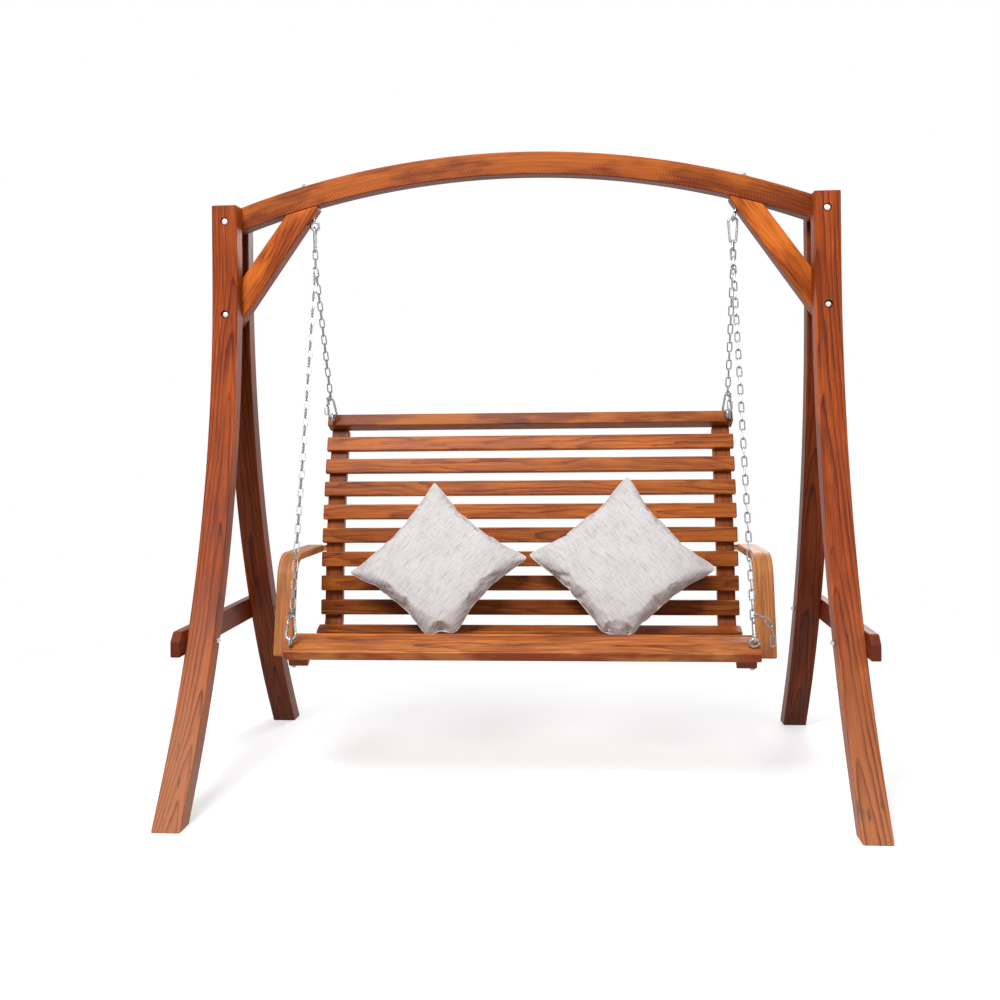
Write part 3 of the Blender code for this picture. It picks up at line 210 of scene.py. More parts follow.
# Cushions
CUSHION_LEFT_SIZE_SHARE = 0.2983
CUSHION_RIGHT_SIZE_SHARE = 0.3093
CUSHION_THICKNESS = 0.120
CUSHION_BLUNT_SHARE = 0.19
CUSHION_LEFT_X_SHARE = -0.2072
CUSHION_RIGHT_X_SHARE = 0.2237
CUSHION_LEAN = math.radians(25)
CUSHION_ROLL_LEFT = math.radians(40)
CUSHION_ROLL_RIGHT = math.radians(49.6)
CUSHION_CENTRE_Y = 0.0505
CUSHION_Z_LEFT = 0.5920
CUSHION_Z_RIGHT = 0.5995


LEFT = -1
RIGHT = 1
FRONT = -1
REAR = 1
X_AXIS = Vector((1, 0, 0))
Y_AXIS = Vector((0, 1, 0))
Z_AXIS = Vector((0, 0, 1))
SIDE_NAMES = {LEFT: "left", RIGHT: "right"}
END_NAMES = {FRONT: "front", REAR: "rear"}
HEXAGON = 6

# Finer shapes than the frame's own
FINE = 4
BEAM_FINE = 3
FRAME_FINE = 3
NOSE_FINE = 4
HOOK_FINE = 3
SEAT_PIECES = 6
ARM_PIECES = 5
WOOD_ROUND = 0.0038
ARM_ROUND = 0.005
ROUND_SEGMENTS = 3
HOLE_SIDES = 24
COUNTERBORE_SIDES = 40
TURNED_SIDES = 20
HEAD_SIDES = 32
PIN_SIDES = 12
WIRE_SIDES = 14
LINK_SIDES = 10
RING_STEPS = 40
LINK_END_STEPS = 12


def add_object(name, bm):
    bmesh.ops.recalc_face_normals(bm, faces=bm.faces)
    mesh = bpy.data.meshes.new(name)
    bm.to_mesh(mesh)
    bm.free()
    obj = bpy.data.objects.new(name, mesh)
    bpy.context.scene.collection.objects.link(obj)
    return obj


def apply_modifiers(obj):
    """Bake the modifier stack into the mesh."""
    bpy.context.view_layer.update()
    graph = bpy.context.evaluated_depsgraph_get()
    mesh = bpy.data.meshes.new_from_object(obj.evaluated_get(graph))
    obj.modifiers.clear()
    obj.data = mesh


def modify(obj, kind, **settings):
    """Add a modifier with these settings and bake it in."""
    modifier = obj.modifiers.new(kind.lower(), kind)
    for name, value in settings.items():
        setattr(modifier, name, value)
    apply_modifiers(obj)


def boolean(obj, tool, operation):
    """Cut or join with a tool object, then remove the tool."""
    modify(obj, "BOOLEAN", operation=operation, object=tool)
    bpy.data.objects.remove(tool, do_unlink=True)


def at_depth(point, axis, depth):
    """A point of an outline in the side plane, for axis x, or in the beam's plane, for axis y."""
    return (depth, point[0], point[1]) if axis == "x" else (point[0], depth, point[1])


def ringed(name, rings):
    bm = bmesh.new()
    skin_rings(bm, [[bm.verts.new(spot) for spot in ring] for ring in rings])
    return add_object(name, bm)


def ribbon(name, one_edge, other_edge, axis, low, high):
    """A bar between two edges with the same number of points, extruded from low to high."""
    return ringed(name, [[at_depth(one, axis, low), at_depth(one, axis, high),
                          at_depth(other, axis, high), at_depth(other, axis, low)]
                         for one, other in zip(one_edge, other_edge)])


def skin_rings(bm, rings, closed=False):
    """Join rings of vertices with quads, and cap both ends unless they close up."""
    count = len(rings[0])
    pairs = list(zip(rings, rings[1:]))
    if closed:
        pairs.append((rings[-1], rings[0]))
    for ring, following in pairs:
        for i in range(count):
            j = (i + 1) % count
            bm.faces.new((ring[i], ring[j], following[j], following[i]))
    if not closed:
        bm.faces.new(rings[0])
        bm.faces.new(list(reversed(rings[-1])))


def prism(name, outline, axis, low, high):
    """A plate with the given outline, extruded from low to high."""
    return ringed(name, [[at_depth(point, axis, depth) for point in outline] for depth in (low, high)])


def block(name, size, middle=(0, 0, 0)):
    bm = bmesh.new()
    bmesh.ops.create_cube(bm, size=1)
    bmesh.ops.scale(bm, vec=size, verts=bm.verts)
    bmesh.ops.translate(bm, vec=middle, verts=bm.verts)
    return add_object(name, bm)


def axes_matrix(origin, x_axis, y_axis, z_axis):
    matrix = Matrix.Identity(4)
    for column, vector in enumerate((x_axis, y_axis, z_axis, origin)):
        for row in range(3):
            matrix[row][column] = vector[row]
    return matrix


def frame_along(origin, z_axis, x_hint):
    """A right-handed frame with its Z along a direction and its X near the hint."""
    z_axis = z_axis.normalized()
    y_axis = z_axis.cross(x_hint).normalized()
    return axes_matrix(origin, y_axis.cross(z_axis), y_axis, z_axis)


def drill(obj, start, direction, length, radius, sides=HOLE_SIDES):
    """Cut a round hole from start along the direction."""
    bm = bmesh.new()
    lathe(bm, [(-OVERRUN, radius), (length + OVERRUN, radius)], sides)
    cutter = add_object("drill", bm)
    cutter.matrix_world = frame_along(start, direction, unlike(direction))
    boolean(obj, cutter, "DIFFERENCE")


def bolt_hole(obj, start, direction, length, bolt_radius):
    drill(obj, start, direction, length, bolt_radius + HOLE_CLEARANCE)


def unlike(direction):
    """An axis that is well away from the direction."""
    return X_AXIS if abs(direction.normalized().dot(X_AXIS)) < math.cos(math.pi / 4) else Y_AXIS


class Route:
    """A route in the side plane made of straight runs and arcs, with its heading at each point."""

    def __init__(self, y, z, heading):
        self.points = [Vector((y, z))]
        self.headings = [heading]

    def run(self, length, pieces=1):
        heading = self.headings[-1]
        step = Vector((math.cos(heading), math.sin(heading))) * (length / pieces)
        for _ in range(pieces):
            self.points.append(self.points[-1] + step)
            self.headings.append(heading)

    def arc(self, radius, turn, steps):
        """Turn left by a positive angle, or right by a negative one."""
        side = math.copysign(1, turn)
        centre = self.offset(-1, side * radius)
        start = self.headings[-1]
        for i in range(1, steps + 1):
            heading = start + turn * i / steps
            out = Vector((math.sin(heading), -math.cos(heading))) * radius * side
            self.points.append(centre + out)
            self.headings.append(heading)

    def offset(self, index, distance):
        """A point to the left of the route, or to its right for a negative distance."""
        heading = self.headings[index]
        return self.points[index] + Vector((-math.sin(heading), math.cos(heading))) * distance

    def edge(self, distance):
        return [self.offset(i, distance) for i in range(len(self.points))]

    def walk(self):
        """Each stretch's start, its end and the length walked up to its start."""
        walked = 0
        for a, b in zip(self.points, self.points[1:]):
            yield a, b, walked
            walked += (b - a).length

    def at(self, distance):
        """The point this far along the route, or beyond its end."""
        for a, b, walked in self.walk():
            if distance <= walked + (b - a).length:
                break
        return a + (b - a).normalized() * (distance - walked)

    def between(self, low, high):
        return [a for a, _, walked in self.walk() if low < walked < high]

    def length(self):
        return sum((b - a).length for a, b, _ in self.walk())


def rest_on(route, middle, width, side):
    """Where a flat board of this width lies on one side of the route: face centre and normal."""
    first = route.at(middle - width / 2)
    second = route.at(middle + width / 2)
    along = (second - first).normalized()
    normal = Vector((-along.y, along.x)) * side
    covered = route.between(middle - width / 2, middle + width / 2)
    bulge = max([0] + [(p - first).dot(normal) for p in covered])
    return (first + second) / 2 + normal * (bulge + FIT_GAP), normal


def side_to_space(x, point):
    return Vector((x, point.x, point.y))


def beam_under(x):
    """Height of the beam's underside."""
    return BEAM_CENTRE.z + math.sqrt((BEAM_RADIUS - BEAM_HEIGHT) ** 2 - x * x)


def beam_over(x):
    return BEAM_CENTRE.z + math.sqrt(BEAM_RADIUS ** 2 - x * x)


def brace_low(x):
    """Height of the brace's lower edge."""
    return beam_under(BRACE_TIP_X) - BRACE_TIP_DEPTH - (x - BRACE_TIP_X) * math.tan(BRACE_LOW_ANGLE)


def brace_high(x):
    """Height of the brace's upper edge beyond its flat tip."""
    return beam_under(BRACE_HEEL_X) - NUT_GAP - (x - BRACE_HEEL_X) * math.tan(BRACE_HIGH_ANGLE)


SLAT_LENGTH = 2 * (STAND_HALF_WIDTH - BENCH_SIDE_ROOM)
CHAIN_X = SLAT_LENGTH / 2 - EYE_END_DISTANCE
BRACE_TIP_X = CHAIN_X - BRACE_TIP_REACH
BRACE_HEEL_X = BRACE_TIP_X + BRACE_TIP_LENGTH
BEAM_CENTRE = Z_AXIS * (BEAM_TOP - BEAM_RADIUS)
POST_CENTRE_X = STAND_HALF_WIDTH - LEG_WIDTH / 2
POST_TOP = beam_over(POST_CENTRE_X) + POST_RISE
LEG_ARC_TOP = POST_TOP - POST_STRAIGHT
LEG_SWEEP = math.asin((LEG_ARC_TOP - LEG_ARC_END) / LEG_FACE_RADIUS)
LEG_INNER_Y = BEAM_THICKNESS / 2 + FIT_GAP
UPPER_EYE_Z = beam_over(CHAIN_X) - EYE_DROP
UPPER_BOLT_Z = (beam_over(POST_CENTRE_X) + beam_under(POST_CENTRE_X)) / 2 - UPPER_BOLT_DROP
LOWER_BOLT_Z = (brace_low(POST_CENTRE_X) + brace_high(POST_CENTRE_X)) / 2 - LOWER_BOLT_DROP


def leg_middle_y(z):
    """Distance of a leg's middle from the beam's plane at a height on its arc."""
    radius = LEG_FACE_RADIUS + LEG_DEPTH / 2
    centre_y = LEG_INNER_Y + LEG_DEPTH + LEG_FACE_RADIUS
    return centre_y - math.sqrt(radius ** 2 - (LEG_ARC_TOP - z) ** 2)


def stretcher_bolt_z():
    return (STRETCHER_LOW_Z + STRETCHER_HIGH_Z) / 2


def stretcher_reach():
    """Half the length of a side stretcher."""
    return leg_middle_y(stretcher_bolt_z()) + STRETCHER_OVERHANG


def upper_eye_direction(x_side):
    """The upper eye bolts stand square to the arched beam."""
    return (upper_eye_centre(x_side) - BEAM_CENTRE).normalized()


def upper_eye_centre(x_side):
    return Vector((x_side * CHAIN_X, 0, UPPER_EYE_Z))


def back_route(fine=1):
    """The side frame's face from its foot up to the top rail."""
    route = Route(FRAME_FOOT_Y, FRAME_FOOT_Z, math.pi / 2 - BACK_LEAN)
    length = BACK_SLAT_PITCH * (BACK_SLATS - 1) + TOP_RAIL_PITCH - TOP_RAIL_HEIGHT / 2 - FIT_GAP
    route.arc(BACK_RADIUS, -length / BACK_RADIUS, BACK_STEPS * fine)
    return route


def seat_route(fine=1, nose_fine=1, pieces=1):
    """The side frame's face from its foot down the bend and forward to its front end."""
    route = Route(FRAME_FOOT_Y, FRAME_FOOT_Z, -math.pi / 2 - BACK_LEAN)
    route.run(BEND_RUN)
    route.arc(BEND_RADIUS, -BEND_TURN, BEND_STEPS * fine)
    route.run(REAR_SLAT_RUN)
    route.arc(SCOOP_RADIUS, -SCOOP_TURN, SCOOP_STEPS * fine)
    route.run(SEAT_RUN, pieces)
    route.arc(CREST_RADIUS, CREST_TURN, CREST_STEPS * fine)
    route.run(CREST_RUN)
    route.arc(NOSE_RADIUS, NOSE_TURN, NOSE_STEPS * nose_fine)
    route.run(NOSE_RUN)
    return route


BACK = back_route()
SEAT = seat_route()
FRAME_OUTER_X = SLAT_LENGTH / 2 - FRAME_INSET


def front_rail_rest():
    """Middle of the front rail's underside, and its normal."""
    middle = SEAT.length() + FRONT_RAIL_SETBACK - FRONT_RAIL_WIDTH / 2
    return rest_on(SEAT, middle, FRONT_RAIL_WIDTH, -1)


def top_rail_place():
    """Centre of the top rail's end outline and the direction its height runs in."""
    end = BACK.headings[-1]
    along = Vector((math.cos(end), math.sin(end)))
    toward_sitter = Vector((-along.y, along.x))
    spot = BACK.points[-1] + along * (FIT_GAP + TOP_RAIL_HEIGHT / 2)
    return spot + toward_sitter * SLAT_THICKNESS / 2, along, toward_sitter


def seat_frame_z(y):
    """Height of the middle of the side frame's seat bar at a depth."""
    middle = SEAT.edge(FRAME_THICKNESS / 2)
    return np.interp(-y, [-p.x for p in middle], [p.y for p in middle])


def frame_face_y(z):
    """Where the back's face lies at a height."""
    return np.interp(z, [p.y for p in BACK.points], [p.x for p in BACK.points])


def bench_eye(place):
    """Centre and shank direction of a bench eye bolt in the side plane, and the clamped depth."""
    stand_off = EYE_RADIUS + EYE_WIRE_RADIUS + EYE_STANDOFF
    if place == "front":
        spot, normal = front_rail_rest()
        centre = spot + normal * (FRONT_RAIL_THICKNESS + stand_off)
        return centre, -normal, stand_off + FRONT_RAIL_THICKNESS + FRAME_THICKNESS + FIT_GAP
    spot, _, toward_sitter = top_rail_place()
    centre = spot + toward_sitter * (TOP_RAIL_DEPTH / 2 + stand_off)
    return centre, -toward_sitter, stand_off + TOP_RAIL_DEPTH


def ring_along_side(place, side):
    """Whether a bench eye bolt's ring lies in the side plane. One of the four is turned."""
    return (place, side) != ("front", RIGHT)


def bow(centre, radius, start, turn, steps):
    """An arc's points in a hook's plane, both ends included."""
    angles = [start + turn * i / steps for i in range(steps + 1)]
    return [centre + Vector((math.cos(angle), 0, math.sin(angle))) * radius for angle in angles]


def hook_shape(narrow_radius, length):
    """A hook's centre line from its nose to the hinge stub, and the gate's way, side, pin and length."""
    distance = length - 2 * HOOK_WIRE_RADIUS - HOOK_WIDE_RADIUS - narrow_radius
    tilt = math.asin((HOOK_WIDE_RADIUS - narrow_radius) / distance)
    wide = Z_AXIS * HOOK_WIDE_RADIUS
    narrow = Z_AXIS * (HOOK_WIDE_RADIUS + distance)
    side = Vector((math.cos(tilt), 0, math.sin(tilt)))
    way = Vector((-math.sin(tilt), 0, math.cos(tilt)))
    nose = wide + side * HOOK_WIDE_RADIUS + way * HOOK_NOSE
    stub = narrow + side * narrow_radius - way * HOOK_STUB
    points = [nose]
    points += bow(wide, HOOK_WIDE_RADIUS, tilt, -math.pi - 2 * tilt, HOOK_BEND_STEPS * HOOK_FINE)
    points += bow(narrow, narrow_radius, math.pi - tilt, 2 * tilt - math.pi, HOOK_NARROW_STEPS * HOOK_FINE)
    points.append(stub)
    reach = distance * math.cos(tilt) - HOOK_NOSE - HOOK_STUB - GATE_PLAY - GATE_PIN_SETBACK
    return points, way, side, stub - way * GATE_PIN_SETBACK, reach


def contact(point, down, side):
    """A meeting place of two links: a point, the chain's direction and two square directions."""
    down = down.normalized()
    through = down.cross(side).normalized()
    return {"at": point, "down": down, "a": through.cross(down), "b": through}


def straight_contacts(first, last, count, side):
    """Contacts spread evenly on a line, both ends included."""
    down = last - first
    return [contact(first + down * i / count, down, side) for i in range(count + 1)]


def bend_rise(bend_radius, reach):
    """How far a hook's inner bend rises at a distance from its middle."""
    inner = bend_radius - HOOK_WIRE_RADIUS
    return inner - math.sqrt(inner ** 2 - reach ** 2)


def ring_to_hook():
    """From a ring wire's centre to the hook wire's centre."""
    return EYE_WIRE_RADIUS + HOOK_WIRE_RADIUS + HOOK_PLAY


def place_mesh(obj):
    """Put the object's place into its mesh."""
    bpy.context.view_layer.update()
    obj.data.transform(obj.matrix_world)
    obj.matrix_world = Matrix.Identity(4)


def coordinates(mesh):
    co = np.zeros(len(mesh.vertices) * 3)
    mesh.vertices.foreach_get("co", co)
    return co.reshape(-1, 3)


def put_vectors(mesh, name, values):
    attribute = mesh.attributes.new(name, "FLOAT_VECTOR", "POINT")
    attribute.data.foreach_set("vector", np.asarray(values, np.float32).ravel())


def soften(obj, width=WOOD_ROUND):
    modify(obj, "BEVEL", width=width, segments=ROUND_SEGMENTS, limit_method="ANGLE", angle_limit=BEVEL_ANGLE)


def smooth(obj):
    obj.data.shade_smooth()
    obj.data.set_sharp_from_angle(angle=SHARP_ANGLE)
    modify(obj, "WEIGHTED_NORMAL", keep_sharp=True)


def finish_piece(obj, node, body, material):
    obj.data.materials.clear()
    obj.data.materials.append(material)
    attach(obj, body)
    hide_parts(node)


def wood(obj, node, body, material, mapper, half, tone_and_shade=0):
    """Give a wooden piece its grain coordinates, its own stretch of tree and its tone, which on some pieces
    is lowered as painted shade.
    """
    place_mesh(obj)
    smooth(obj)
    chance = random.Random(node)
    co = coordinates(obj.data)
    put_vectors(obj.data, "grain", mapper(co))
    seed = (chance.uniform(-30, 30), chance.uniform(-0.022, 0.022), chance.uniform(0.030, 0.055))
    put_vectors(obj.data, "tree", np.tile(seed, (len(co), 1)))
    look = (tone_and_shade or chance.uniform(0.76, 1.12), half[0], half[1])
    put_vectors(obj.data, "look", np.tile(look, (len(co), 1)))
    finish_piece(obj, node, body, material)


def board_mapper(matrix):
    """Along the board's own X, across its Y, deep in its Z."""
    inverse = np.array(matrix.inverted())
    return lambda co: co @ inverse[:3, :3].T + inverse[:3, 3]


def path_mapper(points, middle_x):
    """Along a path in the side plane, across from its middle, deep square to it. Also the path's length."""
    line = np.array([(p[0], p[1]) for p in points])
    steps = line[1:] - line[:-1]
    lengths = np.linalg.norm(steps, axis=1)
    walked = np.concatenate(([0], np.cumsum(lengths)))

    def mapper(co):
        best = np.full(len(co), np.inf)
        out = np.zeros((len(co), 3))
        out[:, 1] = co[:, 0] - middle_x
        for i, (start, step, length) in enumerate(zip(line, steps, lengths)):
            rel = co[:, 1:] - start
            low = 0 if i else -np.inf
            high = 1 if i < len(steps) - 1 else np.inf
            share = np.clip(rel @ step / length ** 2, low, high)
            distance = np.linalg.norm(rel - share[:, None] * step, axis=1)
            side = (step[0] * rel[:, 1] - step[1] * rel[:, 0]) / length
            closer = distance < best
            best = np.where(closer, distance, best)
            out[closer, 0] = (walked[i] + share * length - walked[-1] / 2)[closer]
            out[closer, 2] = side[closer]
        return out
    return mapper, walked[-1]


def bent_bar(node, face, behind, first_x, second_x, width=WOOD_ROUND):
    """A rounded bar between two edges in the side plane, with its mapper and its length."""
    bar = ribbon(node + "_look", face, behind, "x", first_x, second_x)
    soften(bar, width)
    path = [(a + b) / 2 for a, b in zip(face, behind)]
    return bar, *path_mapper(path, (first_x + second_x) / 2)


# Materials made of nodes

class Value:
    """An output of a node that can stand in a sum."""

    def __init__(self, graph, socket):
        self.graph = graph
        self.socket = socket

    def __add__(self, other):
        return self.graph.math("ADD", self, other)

    def __sub__(self, other):
        return self.graph.math("SUBTRACT", self, other)

    def __mul__(self, other):
        return self.graph.math("MULTIPLY", self, other)

    def __truediv__(self, other):
        return self.graph.math("DIVIDE", self, other)

    def __abs__(self):
        return self.graph.math("ABSOLUTE", self)


class Graph:
    """Short calls for the nodes of a material or of the world."""

    def __init__(self, owner):
        self.owner = owner
        owner.use_nodes = True
        self.tree = owner.node_tree
        self.shader = self.tree.nodes.get("Principled BSDF")

    def put(self, socket, value):
        if isinstance(value, Value):
            self.tree.links.new(value.socket, socket)
        elif isinstance(value, (int, float)):
            socket.default_value = value
        else:
            socket.default_value = (*value, 1) if len(socket.default_value) == 4 else value

    def node(self, kind, inputs=(), output=0, **settings):
        """An output of a new node. Inputs are a row of values, or a dict of them."""
        node = self.tree.nodes.new("ShaderNode" + kind)
        for name, setting in settings.items():
            setattr(node, name, setting)
        for key, value in inputs.items() if isinstance(inputs, dict) else enumerate(inputs):
            self.put(node.inputs[key], value)
        return Value(self, node.outputs[output])

    def split(self, vector):
        node = self.node("SeparateXYZ", [vector]).socket.node
        return [Value(self, socket) for socket in node.outputs]

    def attribute(self, name):
        return self.node("Attribute", output="Vector", attribute_name=name)

    def join(self, x, y, z):
        return self.node("CombineXYZ", (x, y, z))

    def math(self, operation, *values):
        return self.node("Math", values, operation=operation)

    def vector(self, operation, first, second):
        return self.node("VectorMath", (first, second), operation=operation)

    def noise(self, place, cycles, detail=2, roughness=0.5):
        """Noise with so many cycles a metre, as one number or one for each direction."""
        if isinstance(cycles, tuple):
            place = self.vector("MULTIPLY", place, cycles)
            cycles = 1
        inputs = {"Vector": place, "Scale": cycles, "Detail": detail, "Roughness": roughness}
        return self.node("TexNoise", inputs)

    def ramp(self, value, *stops):
        result = self.node("ValToRGB", [value])
        elements = result.socket.node.color_ramp.elements
        while len(elements) < len(stops):
            elements.new(0.5)
        for element, (place, level) in zip(elements, stops):
            element.position = place
            colour = level if isinstance(level, tuple) else (level, level, level)
            element.color = (*colour, 1)
        return result

    def mix(self, share, first, second, blend="MIX"):
        return self.node("Mix", {0: share, 6: first, 7: second}, 2, data_type="RGBA", blend_type=blend)

    def shade(self, colour, value, *stops):
        """The colour times a ramp."""
        return self.mix(1, colour, self.ramp(value, *stops), "MULTIPLY")

    def between(self, value, low, high, to_low=0, to_high=1):
        """A smooth step from to_low to to_high, as the value goes from low to high."""
        return self.node("MapRange", (value, low, high, to_low, to_high), interpolation_type="SMOOTHSTEP")

    def bump(self, height, strength, distance):
        normal = self.node("Bump", {"Height": height, "Strength": strength, "Distance": distance})
        self.put(self.shader.inputs["Normal"], normal)

    def done(self, colour, roughness, metallic=0):
        self.put(self.shader.inputs["Base Color"], colour)
        self.put(self.shader.inputs["Roughness"], roughness)
        self.shader.inputs["Metallic"].default_value = metallic
        return self.owner


def material_graph(name):
    return Graph(bpy.data.materials.new(name))


def scaled(colour, *factors):
    return tuple(min(1, level * factor) for level, factor in zip(colour, factors))


# Patterns in wood, as cycles a metre along, across and deep
SLOW = (1.3, 5, 5)
MIDDLE = (4.5, 24, 24)
SMALL = (22, 160, 160)
FIGURE = (3, 30, 30)
FIBRES = (9, 620, 620)
BANDS = (2.2, 75, 75)
LINES = (7, 250, 250)
PORES = (55, 1500, 1500)
BLOTCHES = (5, 16, 16)
KNOTS = (2.4, 9, 9)
DIRT = (14, 60, 60)
RIPPLE_PERIOD = 0.0088
FOOT_LIGHT = (0.44, 0.165, 0.066)
FOOT_DARK = (0.14, 0.026, 0.010)
DIRT_COLOUR = (0.11, 0.06, 0.035)


def wood_material(name, light, dark, spacing, taper, figure, streak, ripple=0, narrow=0, foot=0, gloss=0.42):
    """Stained pine or fir: growth rings cut flat, fibres, pores, stain blotches, dark ends, and painted shade
    on the narrow faces if narrow is given.
    """
    g = material_graph(name)
    along, across, deep = g.split(g.attribute("grain"))
    start, aside, pith = g.split(g.attribute("tree"))
    tone_and_shade, half_along, half_across = g.split(g.attribute("look"))
    spot = g.join(along + start, across, deep)
    slow = g.noise(spot, SLOW, 1) - 0.5
    middle = g.noise(spot, MIDDLE) - 0.5
    small = g.noise(spot, SMALL) - 0.5
    # Rings are cones about the pith, which the board cuts
    off = across + aside + slow * 0.07
    depth = deep + pith + middle * 0.018
    radius = g.math("SQRT", off * off + depth * depth)
    drift = (along + slow * 1.5) * taper
    ring = g.math("FRACT", (radius - drift + small * 0.0022) / spacing)
    late = g.ramp(ring, (0, 0.10), (0.35, 0.05), (0.72, 0.50), (0.88, 1.0), (0.95, 0.75), (1.0, 0.10))
    late = late * g.between(g.noise(spot, FIGURE), 0.30, 0.70, figure * 0.45, figure)
    fibre = g.noise(spot, FIBRES, 3, 0.6)
    blotch = g.noise(spot, BLOTCHES, 3, 0.55)
    colour = g.mix(late, light, dark)
    colour = g.shade(colour, fibre, (0.25, 1 - streak), (0.75, 1 + streak / 3))
    colour = g.shade(colour, g.noise(spot, BANDS), (0.28, 0.74), (0.70, 1.0))
    colour = g.shade(colour, g.noise(spot, LINES), (0.30, 0.66), (0.62, 1.06))
    colour = g.mix(g.between(g.noise(spot, PORES, 1), 0.66, 0.76, 0, 0.35), colour, dark)
    colour = g.shade(colour, blotch, (0.30, (0.64, 0.52, 0.50)), (0.66, (1.0, 1.0, 1.0)))
    knots = g.node("TexVoronoi", {"Vector": g.vector("MULTIPLY", spot, KNOTS), "Scale": 1}, "Distance")
    colour = g.mix(g.between(knots, 0.055, 0.10, 0.75, 0), colour, scaled(dark, 0.35, 0.35, 0.35))
    if foot:
        height = g.split(g.node("TexCoord", output="Object"))[2]
        low = g.between(height + slow * 0.5, 0.0, 0.66, foot, 0) * g.between(tone_and_shade, 0.60, 0.90)
        colour = g.mix(low, colour, g.mix(late, FOOT_LIGHT, FOOT_DARK))
        dirt = g.between(g.noise(spot, DIRT, 3), 0.62, 0.70) * g.between(height, 0.02, 0.35, 0.9, 0)
        colour = g.mix(dirt, colour, DIRT_COLOUR)
    if ripple:
        wave = g.math("SINE", (along * 0.90 + deep * 0.45) * (math.tau / RIPPLE_PERIOD))
        strip = g.between(deep + middle * 0.02, 0.004, -0.008, 0, ripple)
        colour = g.mix(strip, colour, g.mix(g.between(wave, -0.3, 0.3), colour, dark))
    colour = g.mix(g.between(half_along - abs(along), 0.0012, 0.0045, 0.55, 0), colour, dark)
    side = half_across - abs(across)
    # Painted shade: both narrow faces of a board are darkened by the narrow share, standing for the shade on
    # a board's lower edge
    if narrow:
        colour = g.mix(g.between(side, 0.0004, 0.0016, narrow, 0), colour, dark)
    worn = g.between(side, 0.0005, 0.0045, 0.30, 0) * g.between(blotch, 0.42, 0.62)
    colour = g.mix(worn, colour, scaled(light, 1.5, 1.7, 1.9))
    # The tone also holds painted shade: it darkens the rear legs and the lowest back slats
    colour = g.vector("MULTIPLY", colour, g.join(tone_and_shade, tone_and_shade, tone_and_shade))
    g.bump(fibre * 0.6 + late * -0.5, 0.35, 0.0006)
    g.shader.inputs["Specular IOR Level"].default_value = 0.16
    return g.done(colour, g.between(fibre + blotch * 0.6, 0.45, 1.15, gloss - 0.07, gloss + 0.14))


def zinc_material(name, base, rough_low, rough_high, dull):
    """Plated steel with cloudy grey patches, faint spangles and some grime."""
    g = material_graph(name)
    place = g.node("TexCoord", output="Object")
    cloud = g.noise(place, 260, 3, 0.6)
    spangle = g.node("TexVoronoi", {"Vector": place, "Scale": 900}, "Color")
    dark = (base * 0.62, base * 0.62, base * 0.64)
    grey = g.mix(g.between(cloud, 0.35, 0.68), dark, (base, base, base * 1.02))
    grey = g.mix(0.10, grey, spangle, "MULTIPLY")
    grey = g.mix(g.between(g.noise(place, 90, 4, 0.65), 0.50, 0.72, 0, dull), grey, (0.16, 0.13, 0.11))
    g.bump(cloud, 0.15, 0.0004)
    return g.done(grey, g.between(cloud, 0.3, 0.7, rough_low, rough_high), 1)


RIB_PERIOD = 0.0052
PICK_PERIOD = 0.0044
THREAD_PERIOD = 0.0030


def fabric_material(name, light, shade):
    """A plain weave with raised ribs one way, slubs, and slight soiling."""
    g = material_graph(name)
    place = g.attribute("weave")
    across, up, _ = g.split(place)
    slub = g.noise(place, (400, 22, 0))
    other = g.noise(place, (22, 400, 0))
    sway = (g.noise(place, (60, 60, 0)) - 0.5) * 0.0012
    rib = g.math("SINE", (across + sway) * (math.tau / RIB_PERIOD))
    pick = g.math("SINE", (up + sway) * (math.tau / PICK_PERIOD))
    level = rib * 0.55 + pick * 0.32
    colour = g.mix(g.between(level, -0.85, 0.35, 0.62, 0), light, shade)
    colour = g.mix(g.between(slub, 0.52, 0.66, 0, 0.42), colour, scaled(shade, 0.82, 0.78, 0.80))
    colour = g.mix(g.between(other, 0.54, 0.68, 0, 0.30), colour, scaled(shade, 1.05, 0.98, 1.0))
    cloud = g.noise(place, (14, 14, 14), 3)
    colour = g.shade(colour, cloud, (0.3, (0.92, 0.91, 0.90)), (0.7, (1.0, 1.0, 1.0)))
    g.bump(level, 0.45, 0.0009)
    return g.done(colour, 0.88)


def thread_material(name, colour):
    g = material_graph(name)
    along, around, _ = g.split(g.attribute("weave"))
    twist = g.math("SINE", (along + around * 0.5) * (math.tau / THREAD_PERIOD))
    g.bump(twist, 0.6, 0.0006)
    return g.done(g.mix(g.between(twist, -0.8, 0.6), scaled(colour, 0.72, 0.70, 0.70), colour), 0.9)


LEG_WOOD = wood_material("leg wood", light=(0.54, 0.100, 0.013), dark=(0.120, 0.012, 0.009),
                         spacing=0.0100, taper=0.034, figure=1.0, streak=0.46, foot=0.75)
BEAM_WOOD = wood_material("beam wood", light=(0.46, 0.105, 0.012), dark=(0.17, 0.026, 0.007),
                          spacing=0.0100, taper=0.016, figure=0.85, streak=0.46, ripple=0.95)
BRACE_WOOD = wood_material("brace wood", light=(0.74, 0.160, 0.016), dark=(0.25, 0.038, 0.010),
                           spacing=0.0080, taper=0.022, figure=0.95, streak=0.46)
# Painted shade: the stretchers' colours are far darker than the legs' to stand for the shade they sit in
STRETCHER_SHADED_WOOD = wood_material("stretcher wood", light=(0.28, 0.050, 0.013), dark=(0.10, 0.016, 0.008),
                               spacing=0.0080, taper=0.020, figure=0.80, streak=0.40)
